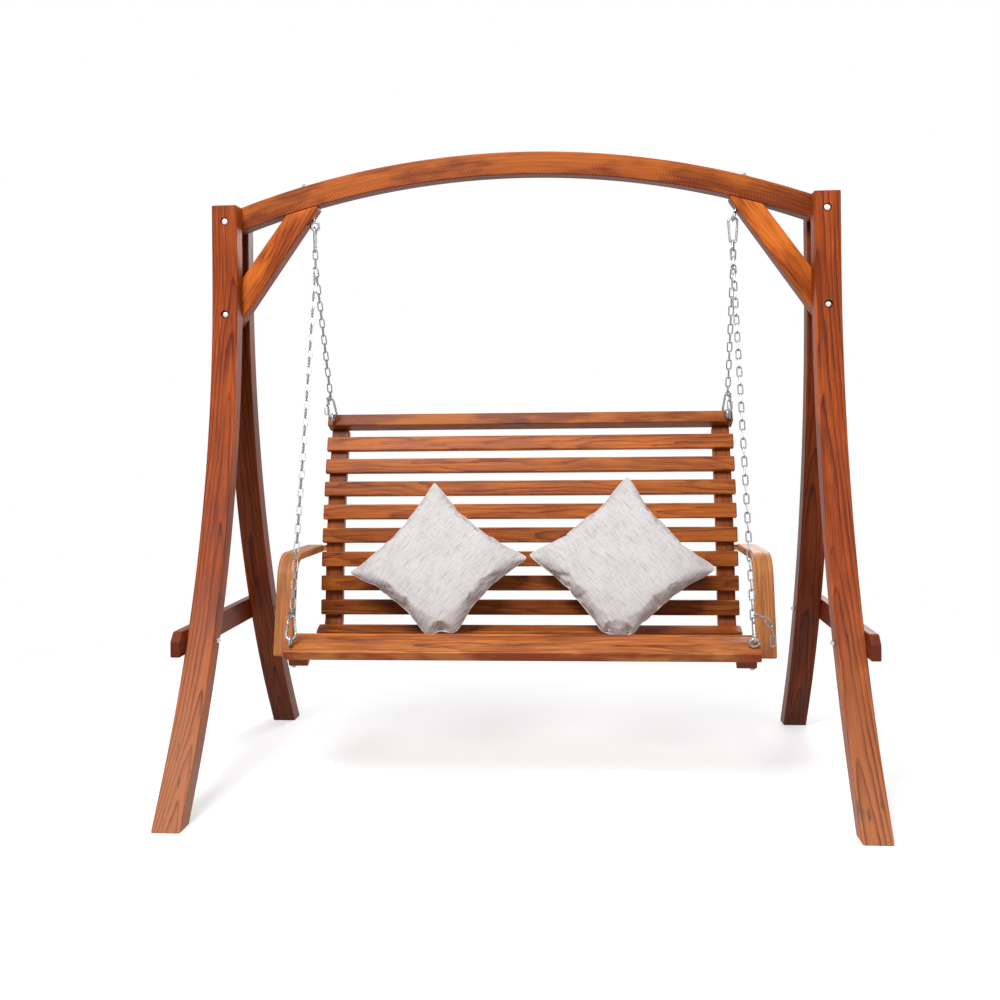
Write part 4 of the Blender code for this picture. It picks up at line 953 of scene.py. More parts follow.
# The narrow share on the slats and the front rail darkens their narrow faces as painted shade
SLAT_WOOD = wood_material("slat wood", light=(0.68, 0.186, 0.026), dark=(0.22, 0.034, 0.009),
                          spacing=0.0060, taper=0.016, figure=0.90, streak=0.46, narrow=0.35)
RAIL_WOOD = wood_material("front rail wood", light=(0.74, 0.252, 0.068), dark=(0.26, 0.048, 0.013),
                          spacing=0.0060, taper=0.012, figure=0.85, streak=0.42, narrow=1.0)
FRAME_WOOD = wood_material("frame wood", light=(0.48, 0.120, 0.022), dark=(0.20, 0.034, 0.011),
                           spacing=0.0075, taper=0.018, figure=0.85, streak=0.40)
ARM_WOOD = wood_material("armrest wood", light=(0.66, 0.260, 0.085), dark=(0.40, 0.115, 0.034),
                         spacing=0.0052, taper=0.012, figure=0.60, streak=0.36)
# The rear legs' low tone is painted shade; the front legs keep their own tone
LEG_TONES_AND_SHADE = {FRONT: 0.98, REAR: 0.50}
FRAME_TONE = 0.95
TOP_RAIL_TONE = 0.76
ZINC = zinc_material("zinc", 0.52, 0.20, 0.40, 0.40)
CHAIN_ZINC = zinc_material("chain zinc", 0.40, 0.24, 0.44, 0.55)
BRIGHT_ZINC = zinc_material("bright zinc", 0.90, 0.30, 0.50, 0.08)


# Stand


def leg_edges(side):
    """Outer and inner edge of a leg from its top down to the ground."""
    route = Route(LEG_INNER_Y + LEG_DEPTH, LEG_ARC_TOP, -math.pi / 2)
    route.arc(LEG_FACE_RADIUS, LEG_SWEEP, LEG_ARC_STEPS * FINE)
    edges = []
    for depth in (0, LEG_DEPTH):
        curve = route.edge(-depth)
        foot_y = curve[-1].x - curve[-1].y / math.tan(route.headings[-1])
        points = [(LEG_INNER_Y + LEG_DEPTH - depth, POST_TOP), *curve, (foot_y, 0)]
        edges.append([Vector((side * y, z)) for y, z in points])
    return edges


def build_leg(node, x_side, y_side):
    outer, inner = leg_edges(y_side)
    inner_x = x_side * (STAND_HALF_WIDTH - LEG_WIDTH)
    leg, mapper, length = bent_bar(node, outer, inner, x_side * STAND_HALF_WIDTH, inner_x)
    outward = Y_AXIS * y_side
    for z in (UPPER_BOLT_Z, LOWER_BOLT_Z):
        inside = Vector((x_side * POST_CENTRE_X, y_side * LEG_INNER_Y, z))
        bolt_hole(leg, inside, outward, LEG_DEPTH, BOLT_RADIUS)
        floor = inside + outward * (LEG_DEPTH - COUNTERBORE_DEPTH + OVERRUN)
        drill(leg, floor, outward, COUNTERBORE_DEPTH, COUNTERBORE_RADIUS, COUNTERBORE_SIDES)
    z = stretcher_bolt_z()
    start = Vector((inner_x, y_side * leg_middle_y(z), z))
    bolt_hole(leg, start, X_AXIS * x_side, LEG_WIDTH, STRETCHER_BOLT_RADIUS)
    wood(leg, node, "stand", LEG_WOOD, mapper, (length, LEG_WIDTH / 2), LEG_TONES_AND_SHADE[y_side])


def drill_side(bar, side, bolt_z, eye_reach):
    """A through bolt's hole and an eye bolt's hole at one side of the beam or a brace."""
    start = Vector((side * POST_CENTRE_X, -BEAM_THICKNESS / 2, bolt_z))
    bolt_hole(bar, start, Y_AXIS, BEAM_THICKNESS, BOLT_RADIUS)
    bolt_hole(bar, upper_eye_centre(side), upper_eye_direction(side), eye_reach, EYE_WIRE_RADIUS)


def build_beam():
    half = BEAM_THICKNESS / 2
    count = BEAM_STEPS * BEAM_FINE
    xs = [STAND_HALF_WIDTH * (2 * i / count - 1) for i in range(count + 1)]
    beam = ribbon("cross_beam_look", [(x, beam_over(x)) for x in xs], [(x, beam_under(x)) for x in xs],
                  "y", -half, half)
    soften(beam)
    for side in (LEFT, RIGHT):
        reach = BEAM_RADIUS - (upper_eye_centre(side) - BEAM_CENTRE).length
        drill_side(beam, side, UPPER_BOLT_Z, reach)

    def mapper(co):
        rel = co - np.array(BEAM_CENTRE)
        radius = np.hypot(rel[:, 0], rel[:, 2])
        middle = BEAM_RADIUS - BEAM_HEIGHT / 2
        return np.column_stack((np.arctan2(rel[:, 0], rel[:, 2]) * middle, co[:, 1], radius - middle))
    wood(beam, "cross_beam", "stand", BEAM_WOOD, mapper, (1, half), 1)


def build_brace(node, side):
    half = BEAM_THICKNESS / 2
    steps = BRACE_TOP_STEPS * FINE
    xs = [BRACE_TIP_X + (BRACE_HEEL_X - BRACE_TIP_X) * i / steps for i in range(steps + 1)]
    end = STAND_HALF_WIDTH
    outline = [(BRACE_TIP_X, brace_low(BRACE_TIP_X)), *[(x, beam_under(x) - NUT_GAP) for x in xs],
               (end, brace_high(end)), (end, brace_low(end))]
    brace = prism(node + "_look", [(side * x, z) for x, z in outline], "y", -half, half)
    soften(brace)
    drill_side(brace, side, LOWER_BOLT_Z, BEAM_HEIGHT)
    middle_x = (BRACE_TIP_X + end) / 2
    middle = Vector((side * middle_x, 0, (brace_low(middle_x) + brace_high(middle_x)) / 2))
    along = Vector((side * math.cos(BRACE_LOW_ANGLE), 0, -math.sin(BRACE_LOW_ANGLE)))
    matrix = axes_matrix(middle, along, Y_AXIS, along.cross(Y_AXIS))
    wood(brace, node, "stand", BRACE_WOOD, board_mapper(matrix), (1, half), 1)


def build_stretcher(node, side):
    inner_x = STAND_HALF_WIDTH + FIT_GAP
    reach = stretcher_reach()
    half = [(reach, STRETCHER_LOW_Z), (reach, STRETCHER_HIGH_Z - STRETCHER_CORNER),
            (reach - STRETCHER_CORNER, STRETCHER_HIGH_Z)]
    outline = half + [(-y, z) for y, z in reversed(half)]
    bar = prism(node + "_look", outline, "x", side * inner_x, side * (inner_x + STRETCHER_THICKNESS))
    soften(bar)
    z = stretcher_bolt_z()
    for y_side in (FRONT, REAR):
        start = Vector((side * inner_x, y_side * leg_middle_y(z), z))
        bolt_hole(bar, start, X_AXIS * side, STRETCHER_THICKNESS, STRETCHER_BOLT_RADIUS)
    middle = Vector((side * (inner_x + STRETCHER_THICKNESS / 2), 0, z))
    matrix = axes_matrix(middle, Y_AXIS, Z_AXIS, X_AXIS)
    high = (STRETCHER_HIGH_Z - STRETCHER_LOW_Z) / 2
    wood(bar, node, "stand", STRETCHER_SHADED_WOOD, board_mapper(matrix), (reach, high), 1)


# Bench


def build_side_frame(node, side):
    back = back_route(FRAME_FINE)
    seat = seat_route(FRAME_FINE, NOSE_FINE, SEAT_PIECES)
    face = back.points[::-1] + seat.points[1:]
    behind = back.edge(-FRAME_THICKNESS)[::-1] + seat.edge(FRAME_THICKNESS)[1:]
    inner_x = side * (FRAME_OUTER_X - FRAME_WIDTH)
    bar, mapper, length = bent_bar(node, face, behind, side * FRAME_OUTER_X, inner_x)
    spot, normal = front_rail_rest()
    start = side_to_space(side * CHAIN_X, spot)
    bolt_hole(bar, start, -side_to_space(0, normal), FRAME_THICKNESS, EYE_WIRE_RADIUS)
    half = (length / 2, FRAME_WIDTH / 2)
    wood(bar, node, "swing", FRAME_WOOD, mapper, half, FRAME_TONE)


def build_board(node, width, thickness, centre, normal, material, tone_and_shade=0, hole=None):
    """A board across the bench, from its centre and its thickness's direction in the side plane."""
    obj = block(node + "_look", (SLAT_LENGTH, width, thickness))
    turn = Matrix.Rotation(math.atan2(-normal.x, normal.y), 4, "X")
    matrix = Matrix.Translation(side_to_space(0, centre)) @ turn
    obj.matrix_world = matrix
    soften(obj)
    if hole:
        start, direction, depth = hole
        way = side_to_space(0, direction)
        for side in (LEFT, RIGHT):
            bolt_hole(obj, side_to_space(side * CHAIN_X, start), way, depth, EYE_WIRE_RADIUS)
    wood(obj, node, "swing", material, board_mapper(matrix), (SLAT_LENGTH / 2, width / 2), tone_and_shade)
    return obj


# Tones from the lowest back slat up: the three lowest are darkened as painted shade under the cushions and
# arms, the others differ from slat to slat
BACK_SLAT_TONES_AND_SHADE = (0.60, 0.70, 0.86, 0.80, 1.06, 0.94, 0.98, 1.10)


def build_boards():
    """The back slats from the lowest up, the seat slats from the rear forward, and the rails."""
    lowest = Vector((-math.cos(BACK_LEAN), math.sin(BACK_LEAN)))
    rests = [(BACK.points[0] + lowest * FIT_GAP, lowest)]
    rests += [rest_on(BACK, BACK_SLAT_PITCH * i, SLAT_WIDTH, 1) for i in range(1, BACK_SLATS)]
    rests += [rest_on(SEAT, REAR_SLAT_FROM_FOOT + SEAT_SLAT_PITCH * i, SLAT_WIDTH, -1)
              for i in range(SEAT_SLATS)]
    names = [f"back_slat_{i}" for i in range(BACK_SLATS, 0, -1)]
    names += [f"seat_slat_{i}" for i in range(SEAT_SLATS, 0, -1)]
    boards = []
    for name, (spot, normal), tone_and_shade in zip(names, rests, BACK_SLAT_TONES_AND_SHADE + (0,) * SEAT_SLATS):
        centre = spot + normal * SLAT_THICKNESS / 2
        boards.append(build_board(name, SLAT_WIDTH, SLAT_THICKNESS, centre, normal,
                                  SLAT_WOOD, tone_and_shade))
    spot, normal = front_rail_rest()
    centre = spot + normal * FRONT_RAIL_THICKNESS / 2
    boards.append(build_board("front_rail", FRONT_RAIL_WIDTH, FRONT_RAIL_THICKNESS, centre, normal,
                              RAIL_WOOD, 1, (spot, normal, FRONT_RAIL_THICKNESS)))
    centre, along, toward = top_rail_place()
    hole = (centre - toward * TOP_RAIL_DEPTH / 2, toward, TOP_RAIL_DEPTH)
    boards.append(build_board("top_rail", TOP_RAIL_DEPTH, TOP_RAIL_HEIGHT, centre, along,
                              SLAT_WOOD, TOP_RAIL_TONE, hole))
    return boards


def build_arm(node, side):
    route = Route(ARM_FOOT_Y, ARM_FOOT_Z, math.pi / 2 - ARM_LEG_LEAN)
    route.run(ARM_LEG_LENGTH, ARM_PIECES)
    route.arc(ARM_BEND_RADIUS, -(math.pi / 2 - ARM_LEG_LEAN + ARM_DROP), ARM_BEND_STEPS * FINE)
    route.run(ARM_LENGTH, ARM_PIECES)
    inner_x = SLAT_LENGTH / 2 + ARM_SIDE_GAP
    arm, mapper, length = bent_bar(node, route.points, route.edge(-ARM_THICKNESS), side * inner_x,
                                   side * (inner_x + ARM_WIDTH), ARM_ROUND)
    foot_z = seat_frame_z(ARM_FOOT_Y + ARM_THICKNESS / 2)
    foot_y = ARM_FOOT_Y + ARM_THICKNESS / 2 + (foot_z - ARM_FOOT_Z) * math.tan(ARM_LEG_LEAN)
    rear_z = route.offset(-1, -ARM_THICKNESS / 2).y
    rear_y = frame_face_y(rear_z) + FRAME_THICKNESS / 2
    low = FRAME_OUTER_X + FIT_GAP
    high = inner_x + ARM_BLOCK_SINK
    for y, z, depth in ((foot_y, foot_z, ARM_FOOT_BLOCK_DEPTH), (rear_y, rear_z, ARM_REAR_BLOCK_DEPTH)):
        spacer = block("spacer", (high - low, depth, ARM_BLOCK_HEIGHT), (side * (low + high) / 2, y, z))
        boolean(arm, spacer, "UNION")
    wood(arm, node, "swing", ARM_WOOD, mapper, (length / 2, ARM_WIDTH / 2), 1)


# Steel

def wire(points, radius, flat=1):
    return [(point, radius, flat) for point in points]


def tube(bm, stations, through, closed=False, sides=WIRE_SIDES):
    """A wire in one plane, from points with their radius and flatness. Through is square to the plane."""
    rings = []
    points = [station[0] for station in stations]
    last = len(points) - 1
    angles = [math.tau * k / sides for k in range(sides)]
    for i, (point, radius, flat) in enumerate(stations):
        before, after = (i - 1, (i + 1) % (last + 1)) if closed else (max(i - 1, 0), min(i + 1, last))
        tangent = (points[after] - points[before]).normalized()
        normal = (through - tangent * through.dot(tangent)).normalized()
        aside = tangent.cross(normal)
        outs = [aside * math.cos(angle) + normal * math.sin(angle) * flat for angle in angles]
        rings.append([bm.verts.new(point + out * radius) for out in outs])
    skin_rings(bm, rings, closed)


def steel(bm, node, body, material, matrix=Matrix.Identity(4)):
    obj = add_object(node + "_look", bm)
    obj.data.transform(matrix)
    obj.data.shade_smooth()
    obj.data.set_sharp_from_angle(angle=SHARP_ANGLE)
    finish_piece(obj, node, body, material)


def lathe(bm, profile, sides=TURNED_SIDES, matrix=Matrix.Identity(4)):
    """Add a turned solid about Z from pairs of height and radius."""
    angles = [math.tau * (i + 0.5) / sides for i in range(sides)]
    rings = [[Vector((radius * math.cos(angle), radius * math.sin(angle), height)) for angle in angles]
             for height, radius in profile]
    skin_rings(bm, [[bm.verts.new(matrix @ spot) for spot in ring] for ring in rings])


THREAD_PITCH_SHARE = 0.28
THREAD_ROOT_SHARE = 0.90
THREAD_TIP_SHARE = 0.72
THREAD_TIP = 0.0004


def thread(low, high, radius):
    """Rounded ridges of a thread as pairs of height and radius."""
    count = max(2, int((high - low) / (radius * THREAD_PITCH_SHARE)))
    pitch = (high - low) / count
    profile = []
    for i in range(count):
        z = low + pitch * i
        profile += [(z, radius * THREAD_ROOT_SHARE), (z + pitch / 2, radius)]
    return profile + [(high - THREAD_TIP, radius * THREAD_ROOT_SHARE), (high, radius * THREAD_TIP_SHARE)]


def disc(bm, low, height, radius, chamfer, rim, sides):
    """A plate about Z with both its rims chamfered."""
    high = low + height
    lathe(bm, [(low, rim), (low + chamfer, radius), (high - chamfer, radius), (high, rim)], sides)


def hex_nut(bm, low, height, radius):
    disc(bm, low, height, radius, height * NUT_CHAMFER_SHARE, radius * NUT_RIM_SHARE, HEXAGON)


def washer(bm, low, height, radius):
    chamfer = height * WASHER_CHAMFER_SHARE
    disc(bm, low, height, radius, chamfer, radius - chamfer, HEAD_SIDES)


def dome(radius, low, height):
    """A bolt's head with an upright rim, as pairs of height and radius."""
    rim = height * DOME_RIM_SHARE
    angles = [math.pi / 2 * i / DOME_STEPS for i in range(DOME_STEPS + 1)]
    return [(low, radius)] + [(low + rim + (height - rim) * math.sin(angle),
                               max(radius * math.cos(angle) ** DOME_POWER, DOME_TIP)) for angle in angles]


DOME_STEPS = 7
DOME_RIM_SHARE = 0.35
DOME_POWER = 0.8
DOME_TIP = 0.0004
NUT_CHAMFER_SHARE = 0.14
NUT_RIM_SHARE = 0.90
WASHER_CHAMFER_SHARE = 0.3
SHANK_LAP = 0.001
BOLT_SPARE = 0.0012
LEG_NUT_SHARE = 0.92


def build_leg_bolt(node, x_side, z):
    floor = LEG_INNER_Y + LEG_DEPTH - COUNTERBORE_DEPTH + FIT_GAP
    bm = bmesh.new()
    lathe(bm, dome(BOLT_HEAD_RADIUS, floor, BOLT_HEAD_HEIGHT), HEAD_SIDES, Matrix.Rotation(math.pi, 4, "X"))
    lathe(bm, [(-floor, BOLT_RADIUS), (floor, BOLT_RADIUS)])
    washer(bm, floor, WASHER_HEIGHT, BOLT_HEAD_RADIUS)
    hex_nut(bm, floor + WASHER_HEIGHT, BOLT_HEAD_HEIGHT - WASHER_HEIGHT, BOLT_HEAD_RADIUS * LEG_NUT_SHARE)
    lathe(bm, thread(floor + SHANK_LAP, floor + BOLT_HEAD_HEIGHT + BOLT_SPARE, BOLT_RADIUS))
    origin = Vector((x_side * POST_CENTRE_X, 0, z))
    steel(bm, node, "stand", BRIGHT_ZINC, frame_along(origin, Y_AXIS, X_AXIS))


def build_stretcher_bolt(node, x_side, y_side):
    grip = LEG_WIDTH + STRETCHER_THICKNESS + 3 * FIT_GAP
    bm = bmesh.new()
    lathe(bm, thread(-STRETCHER_NUT_HEIGHT - STRETCHER_BOLT_SPARE, 0, STRETCHER_BOLT_RADIUS))
    hex_nut(bm, -STRETCHER_NUT_HEIGHT, STRETCHER_NUT_HEIGHT, STRETCHER_NUT_RADIUS)
    lathe(bm, [(-SHANK_LAP, STRETCHER_BOLT_RADIUS), (grip + SHANK_LAP, STRETCHER_BOLT_RADIUS)])
    lathe(bm, dome(STRETCHER_HEAD_RADIUS, grip, STRETCHER_HEAD_HEIGHT), HEAD_SIDES)
    z = stretcher_bolt_z()
    inner_x = STAND_HALF_WIDTH - LEG_WIDTH - FIT_GAP
    origin = Vector((x_side * inner_x, y_side * leg_middle_y(z), z))
    steel(bm, node, "stand", BRIGHT_ZINC, frame_along(origin, X_AXIS * x_side, Y_AXIS))


EYE_WELD_LENGTH = 0.002
EYE_WELD_SHARE = 1.12


def build_eye_bolt(node, body, centre, direction, ring_hint, grip_end):
    bm = bmesh.new()
    angles = [math.tau * (i + 0.5) / RING_STEPS for i in range(RING_STEPS)]
    ring = [Vector((math.sin(angle), 0, math.cos(angle))) * EYE_RADIUS for angle in angles]
    tube(bm, wire(ring, EYE_WIRE_RADIUS), Y_AXIS, closed=True)
    neck = EYE_RADIUS + EYE_WIRE_RADIUS
    lathe(bm, [(EYE_RADIUS, EYE_WIRE_RADIUS), (neck - EYE_WELD_LENGTH, EYE_WIRE_RADIUS * EYE_WELD_SHARE),
               (neck, EYE_WIRE_RADIUS), (grip_end, EYE_WIRE_RADIUS)])
    washer(bm, grip_end, WASHER_HEIGHT, WASHER_RADIUS)
    nut_low = grip_end + WASHER_HEIGHT
    hex_nut(bm, nut_low, NUT_HEIGHT, NUT_RADIUS)
    lathe(bm, thread(nut_low, nut_low + NUT_HEIGHT + EYE_SPARE, EYE_WIRE_RADIUS))
    steel(bm, node, body, ZINC, frame_along(centre, direction, ring_hint))


HOOK_TIP = 0.0012
HOOK_TIP_ANGLES = (80, 60, 40, 20)
HOOK_TIP_SHARE = 0.28
TONGUE_STEP = 0.0004
TONGUE_END = 0.0008
TONGUE_END_SHARE = 0.75
GATE_PIN_RADIUS = 0.0009
GATE_PIN_SPARE = 0.0003
GATE_CHAMFER = 0.0008
GATE_HEEL_CHAMFER = 0.0006
GATE_RIM_SHARE = 0.80
GATE_HEEL_SHARE = 0.82


def hook_wire(points, way):
    """The hook's wire with a rounded nose and a flattened tongue that the gate's slot takes in."""
    nose = (points[0] - points[1]).normalized() * HOOK_TIP
    stations = []
    for angle in (math.radians(degrees) for degrees in HOOK_TIP_ANGLES):
        share = 1 - HOOK_TIP_SHARE + HOOK_TIP_SHARE * math.cos(angle)
        stations.append((points[0] + nose * (math.sin(angle) - 1), HOOK_WIRE_RADIUS * share, 1))
    stations += wire(points[1:], HOOK_WIRE_RADIUS)
    flat = HOOK_TONGUE_THICKNESS / (2 * HOOK_WIRE_RADIUS)
    run = HOOK_TONGUE_LENGTH - TONGUE_STEP - TONGUE_END
    for step, share in ((TONGUE_STEP, 1), (run, 1), (TONGUE_END, TONGUE_END_SHARE)):
        stations.append((stations[-1][0] - way * step, HOOK_WIRE_RADIUS * share, flat))
    return stations


def build_hook(label, origin, along, across, narrow_radius, length):
    points, way, side, pin, reach = hook_shape(narrow_radius, length)
    place = frame_along(origin, along, across)
    bm = bmesh.new()
    tube(bm, hook_wire(points, way), Y_AXIS)
    steel(bm, f"hook_{label}", "swing", ZINC, place)
    bm = bmesh.new()
    lathe(bm, [(-GATE_HEEL, GATE_RADIUS * GATE_HEEL_SHARE), (GATE_HEEL_CHAMFER - GATE_HEEL, GATE_RADIUS),
               (reach - GATE_CHAMFER, GATE_RADIUS), (reach, GATE_RADIUS * GATE_RIM_SHARE)])
    latch = add_object("latch", bm)
    slot_length = GATE_HEEL + GATE_SLOT_DEPTH + OVERRUN
    slot = block("slot", (2 * (GATE_RADIUS + OVERRUN), GATE_SLOT_WIDTH, slot_length),
                 (0, 0, GATE_SLOT_DEPTH - slot_length / 2))
    boolean(latch, slot, "DIFFERENCE")
    bm = bmesh.new()
    bm.from_mesh(latch.data)
    bpy.data.objects.remove(latch, do_unlink=True)
    half = GATE_RADIUS + GATE_PIN_SPARE
    turn = Matrix.Rotation(math.pi / 2, 4, "X")
    lathe(bm, [(-half, GATE_PIN_RADIUS), (half, GATE_PIN_RADIUS)], PIN_SIDES, turn)
    steel(bm, f"gate_{label}", f"gate_{label}", ZINC, place @ axes_matrix(pin, side, side.cross(way), -way))


LINK_FIT = 0.00005
SQUARE_LINK_POWER = 0.42


def link_end(spot, wide, into, square):
    """Centre line of one link end, from the minus side to the plus side."""
    reach = (LINK_WIDTH - LINK_WIRE) / 2
    power = SQUARE_LINK_POWER if square else 1
    line = []
    for i in range(LINK_END_STEPS + 1):
        angle = math.pi * (i / LINK_END_STEPS - 0.5)
        across = math.copysign(abs(math.sin(angle)) ** power, angle)
        lift = 1 - max(math.cos(angle), 0) ** power
        line.append(spot + wide * reach * across + into * (reach * lift - LINK_WIRE / 2))
    return line


OTHER = {"a": "b", "b": "a"}


def add_link(bm, start, end, wide_key, fork=False):
    thick_key = OTHER[wide_key]
    head = link_end(start["at"], start[wide_key], start["down"], False)
    foot = link_end(end["middle"] if fork else end["at"], end[wide_key], -end["down"], fork)
    through = (start[thick_key] + end[thick_key]).normalized()
    tube(bm, wire(head + foot[::-1], LINK_WIRE / 2 - LINK_FIT), through, closed=True, sides=LINK_SIDES)


def build_chain(node, contacts, first_key, tail_links, fork_at=None):
    """A chain of links between contacts, whose last link also holds a tail that droops to plumb."""
    bm = bmesh.new()
    keys = (first_key, OTHER[first_key])
    for i, (start, end) in enumerate(zip(contacts, contacts[1:])):
        add_link(bm, start, end, keys[i % 2], fork_at == i)
    key = keys[len(contacts) % 2]
    end = contacts[-1]
    out = end[key]
    thick = end[OTHER[key]]
    level = (out - Z_AXIS * out.dot(Z_AXIS)).normalized()

    def slope(angle):
        return level * math.cos(angle) - Z_AXIS * math.sin(angle)
    spot = end["at"] + out * (LINK_WIDTH / 2 - LINK_WIRE) - end["down"] * TAIL_SETBACK
    tail = [{"at": spot, "down": out, "a": thick, "b": out.cross(thick)}]
    for i in range(tail_links):
        angle, following = (min(TAIL_DROOP * step, math.pi / 2) for step in (i, i + 1))
        spot = spot + slope((angle + following) / 2) * LINK_PITCH
        heading = slope(following)
        tail.append({"at": spot, "down": heading, "a": thick, "b": heading.cross(thick)})
    for i in range(tail_links):
        add_link(bm, tail[i], tail[i + 1], "ab"[i % 2])
    steel(bm, node, "swing", CHAIN_ZINC)


def lower_hook_and_end(place, side, top):
    """Build the hook at a bench eye bolt. Returns where the chain from the top meets it."""
    flat, shank, _ = bench_eye(place)
    centre = side_to_space(side * CHAIN_X, flat)
    if ring_along_side(place, side):
        down = (centre - top).normalized()
        touch = centre - down * EYE_RADIUS
        across = X_AXIS
    else:
        touch = centre - side_to_space(0, shank) * EYE_RADIUS
        down = (touch - top).normalized()
        across = down.cross(X_AXIS)
    wide = touch + down * ring_to_hook()
    build_hook(f"{place}_{SIDE_NAMES[side]}", wide, -down, across, HOOK_NARROW_LOWER, HOOK_LENGTH_LOWER)
    narrow = wide - down * (HOOK_LENGTH_LOWER - 2 * HOOK_WIRE_RADIUS)
    seat = HOOK_WIRE_RADIUS + bend_rise(HOOK_NARROW_LOWER, LINK_WIRE / 2) + LINK_PLAY
    return narrow + down * seat


def build_upper_hook(side, across):
    """Build the hook at an upper eye bolt. Returns the middle of its lower bend."""
    out = Z_AXIS if side == LEFT else upper_eye_direction(side)
    wide = upper_eye_centre(side) - out * EYE_RADIUS + Z_AXIS * ring_to_hook()
    build_hook(f"upper_{SIDE_NAMES[side]}", wide, -Z_AXIS, across, HOOK_NARROW_UPPER, HOOK_LENGTH_UPPER)
    return wide - Z_AXIS * (HOOK_LENGTH_UPPER - 2 * HOOK_WIRE_RADIUS)


def build_right_chains(narrow):
    offset = LINK_WIRE / 2 + LINK_SIDE_GAP / 2
    seat = HOOK_WIRE_RADIUS + bend_rise(HOOK_NARROW_UPPER, offset + LINK_WIRE / 2) + LINK_PLAY
    for place, shift, count, tail in (("front", -offset, FRONT_LINKS, FRONT_RIGHT_SPARE_COUNT),
                                      ("rear", offset, REAR_LINKS_RIGHT, REAR_RIGHT_SPARE_COUNT)):
        top = narrow + X_AXIS * shift
        end = lower_hook_and_end(place, RIGHT, top)
        down = (end - top).normalized()
        contacts = straight_contacts(top - down * seat, end, count, X_AXIS)
        build_chain(f"chain_{place}_right", contacts, "b", tail)


def build_left_chains(narrow):
    seat = HOOK_WIRE_RADIUS + bend_rise(HOOK_NARROW_UPPER, LINK_WIRE / 2) + LINK_PLAY
    start = narrow + Z_AXIS * seat
    shared = [contact(start - Z_AXIS * LINK_PITCH * i, -Z_AXIS, X_AXIS) for i in range(SHARED_LINKS)]
    inner_leg = LINK_WIDTH / 2 - LINK_WIRE
    middle = start - Z_AXIS * LINK_PITCH * SHARED_LINKS
    fork = contact(middle - Y_AXIS * (inner_leg - LINK_WIRE / 2), -Z_AXIS, X_AXIS)
    fork["middle"] = middle
    end = lower_hook_and_end("front", LEFT, fork["at"])
    strand = straight_contacts(fork["at"], end, FRONT_LINKS - SHARED_LINKS, X_AXIS)
    contacts = shared + [fork] + strand[1:]
    build_chain("chain_front_left", contacts, "a", FRONT_LEFT_SPARE_COUNT, SHARED_LINKS - 1)
    top = middle + Y_AXIS * (inner_leg - LINK_WIRE / 2 - FIT_GAP) + Z_AXIS * LINK_PLAY
    end = lower_hook_and_end("rear", LEFT, top)
    strand = straight_contacts(top, end, REAR_LINKS_LEFT - SHARED_LINKS, X_AXIS)
    strand[0] = contact(top, -Z_AXIS, X_AXIS)
    build_chain("chain_rear_left", strand, "a", REAR_LEFT_SPARE_COUNT)


# Cushions

PUFF_CELLS = 40
START_THICKNESS = 0.66
START_DRAW = 0.012
START_FULLNESS = 0.56
PILLOW_VOXEL = 0.0055
PILLOW_CAP = 0.024
CLOTH_FRAMES = 20
CLOTH = {"quality": 6, "mass": 0.25, "tension_stiffness": 12, "compression_stiffness": 12,
         "shear_stiffness": 4, "bending_stiffness": 0.35, "use_pressure": True,
         "uniform_pressure_force": 4, "shrink_min": -0.05}
BLUNT_SHARE = 0.86
FLATTEN_FROM_SHARE = 0.9
FLATTEN_SHARE = 0.35
SEAM_RADIUS = 0.0022
SEAM_FLAT = 0.55
SEAM_SIDES = 8
SEAM_STATIONS = 220
SEAM_TURN = 0.0008
REST_GAP = 0.0008
BOX_MARGIN = 0.001
GATHER_HEIGHT = 0.0010
CREASE_DEPTH = 0.0062

# Creases from a corner: its two signs, the turn off the diagonal and the reach in half widths
CREASES = ((1, -1, 0.00, 0.62), (1, -1, 0.24, 0.50), (1, -1, -0.27, 0.46),
           (-1, -1, 0.10, 0.34), (1, 1, -0.1, 0.34), (-1, 1, 0.05, 0.25))


def pillow_mesh(half, thickness, draw, fullness):
    """Two puffed sheets that share their rim, drawn in at the sides, with the lowest corner blunt."""
    bm = bmesh.new()
    shares = [math.sin(math.pi / 2 * (2 * i / PUFF_CELLS - 1)) for i in range(PUFF_CELLS + 1)]
    rim = (0, PUFF_CELLS)
    sheets = []
    for face in (1, -1):
        rows = []
        for i, u in enumerate(shares):
            rows.append([])
            for j, v in enumerate(shares):
                if face == -1 and (i in rim or j in rim):
                    rows[i].append(sheets[0][i][j])
                    continue
                over = max(0, (u - v) / 2 - (1 - CUSHION_BLUNT_SHARE)) * BLUNT_SHARE
                width = half * (u * (1 - draw * (1 - v * v)) - over)
                height = half * (v * (1 - draw * (1 - u * u)) + over)
                puff = ((1 - u * u) * (1 - v * v)) ** fullness
                rows[i].append(bm.verts.new((width, face * puff * thickness / 2, height)))
        sheets.append(rows)
    for rows in sheets:
        for row, following in zip(rows, rows[1:]):
            for j in range(PUFF_CELLS):
                bm.faces.new((row[j], following[j], following[j + 1], row[j + 1]))
    return bm


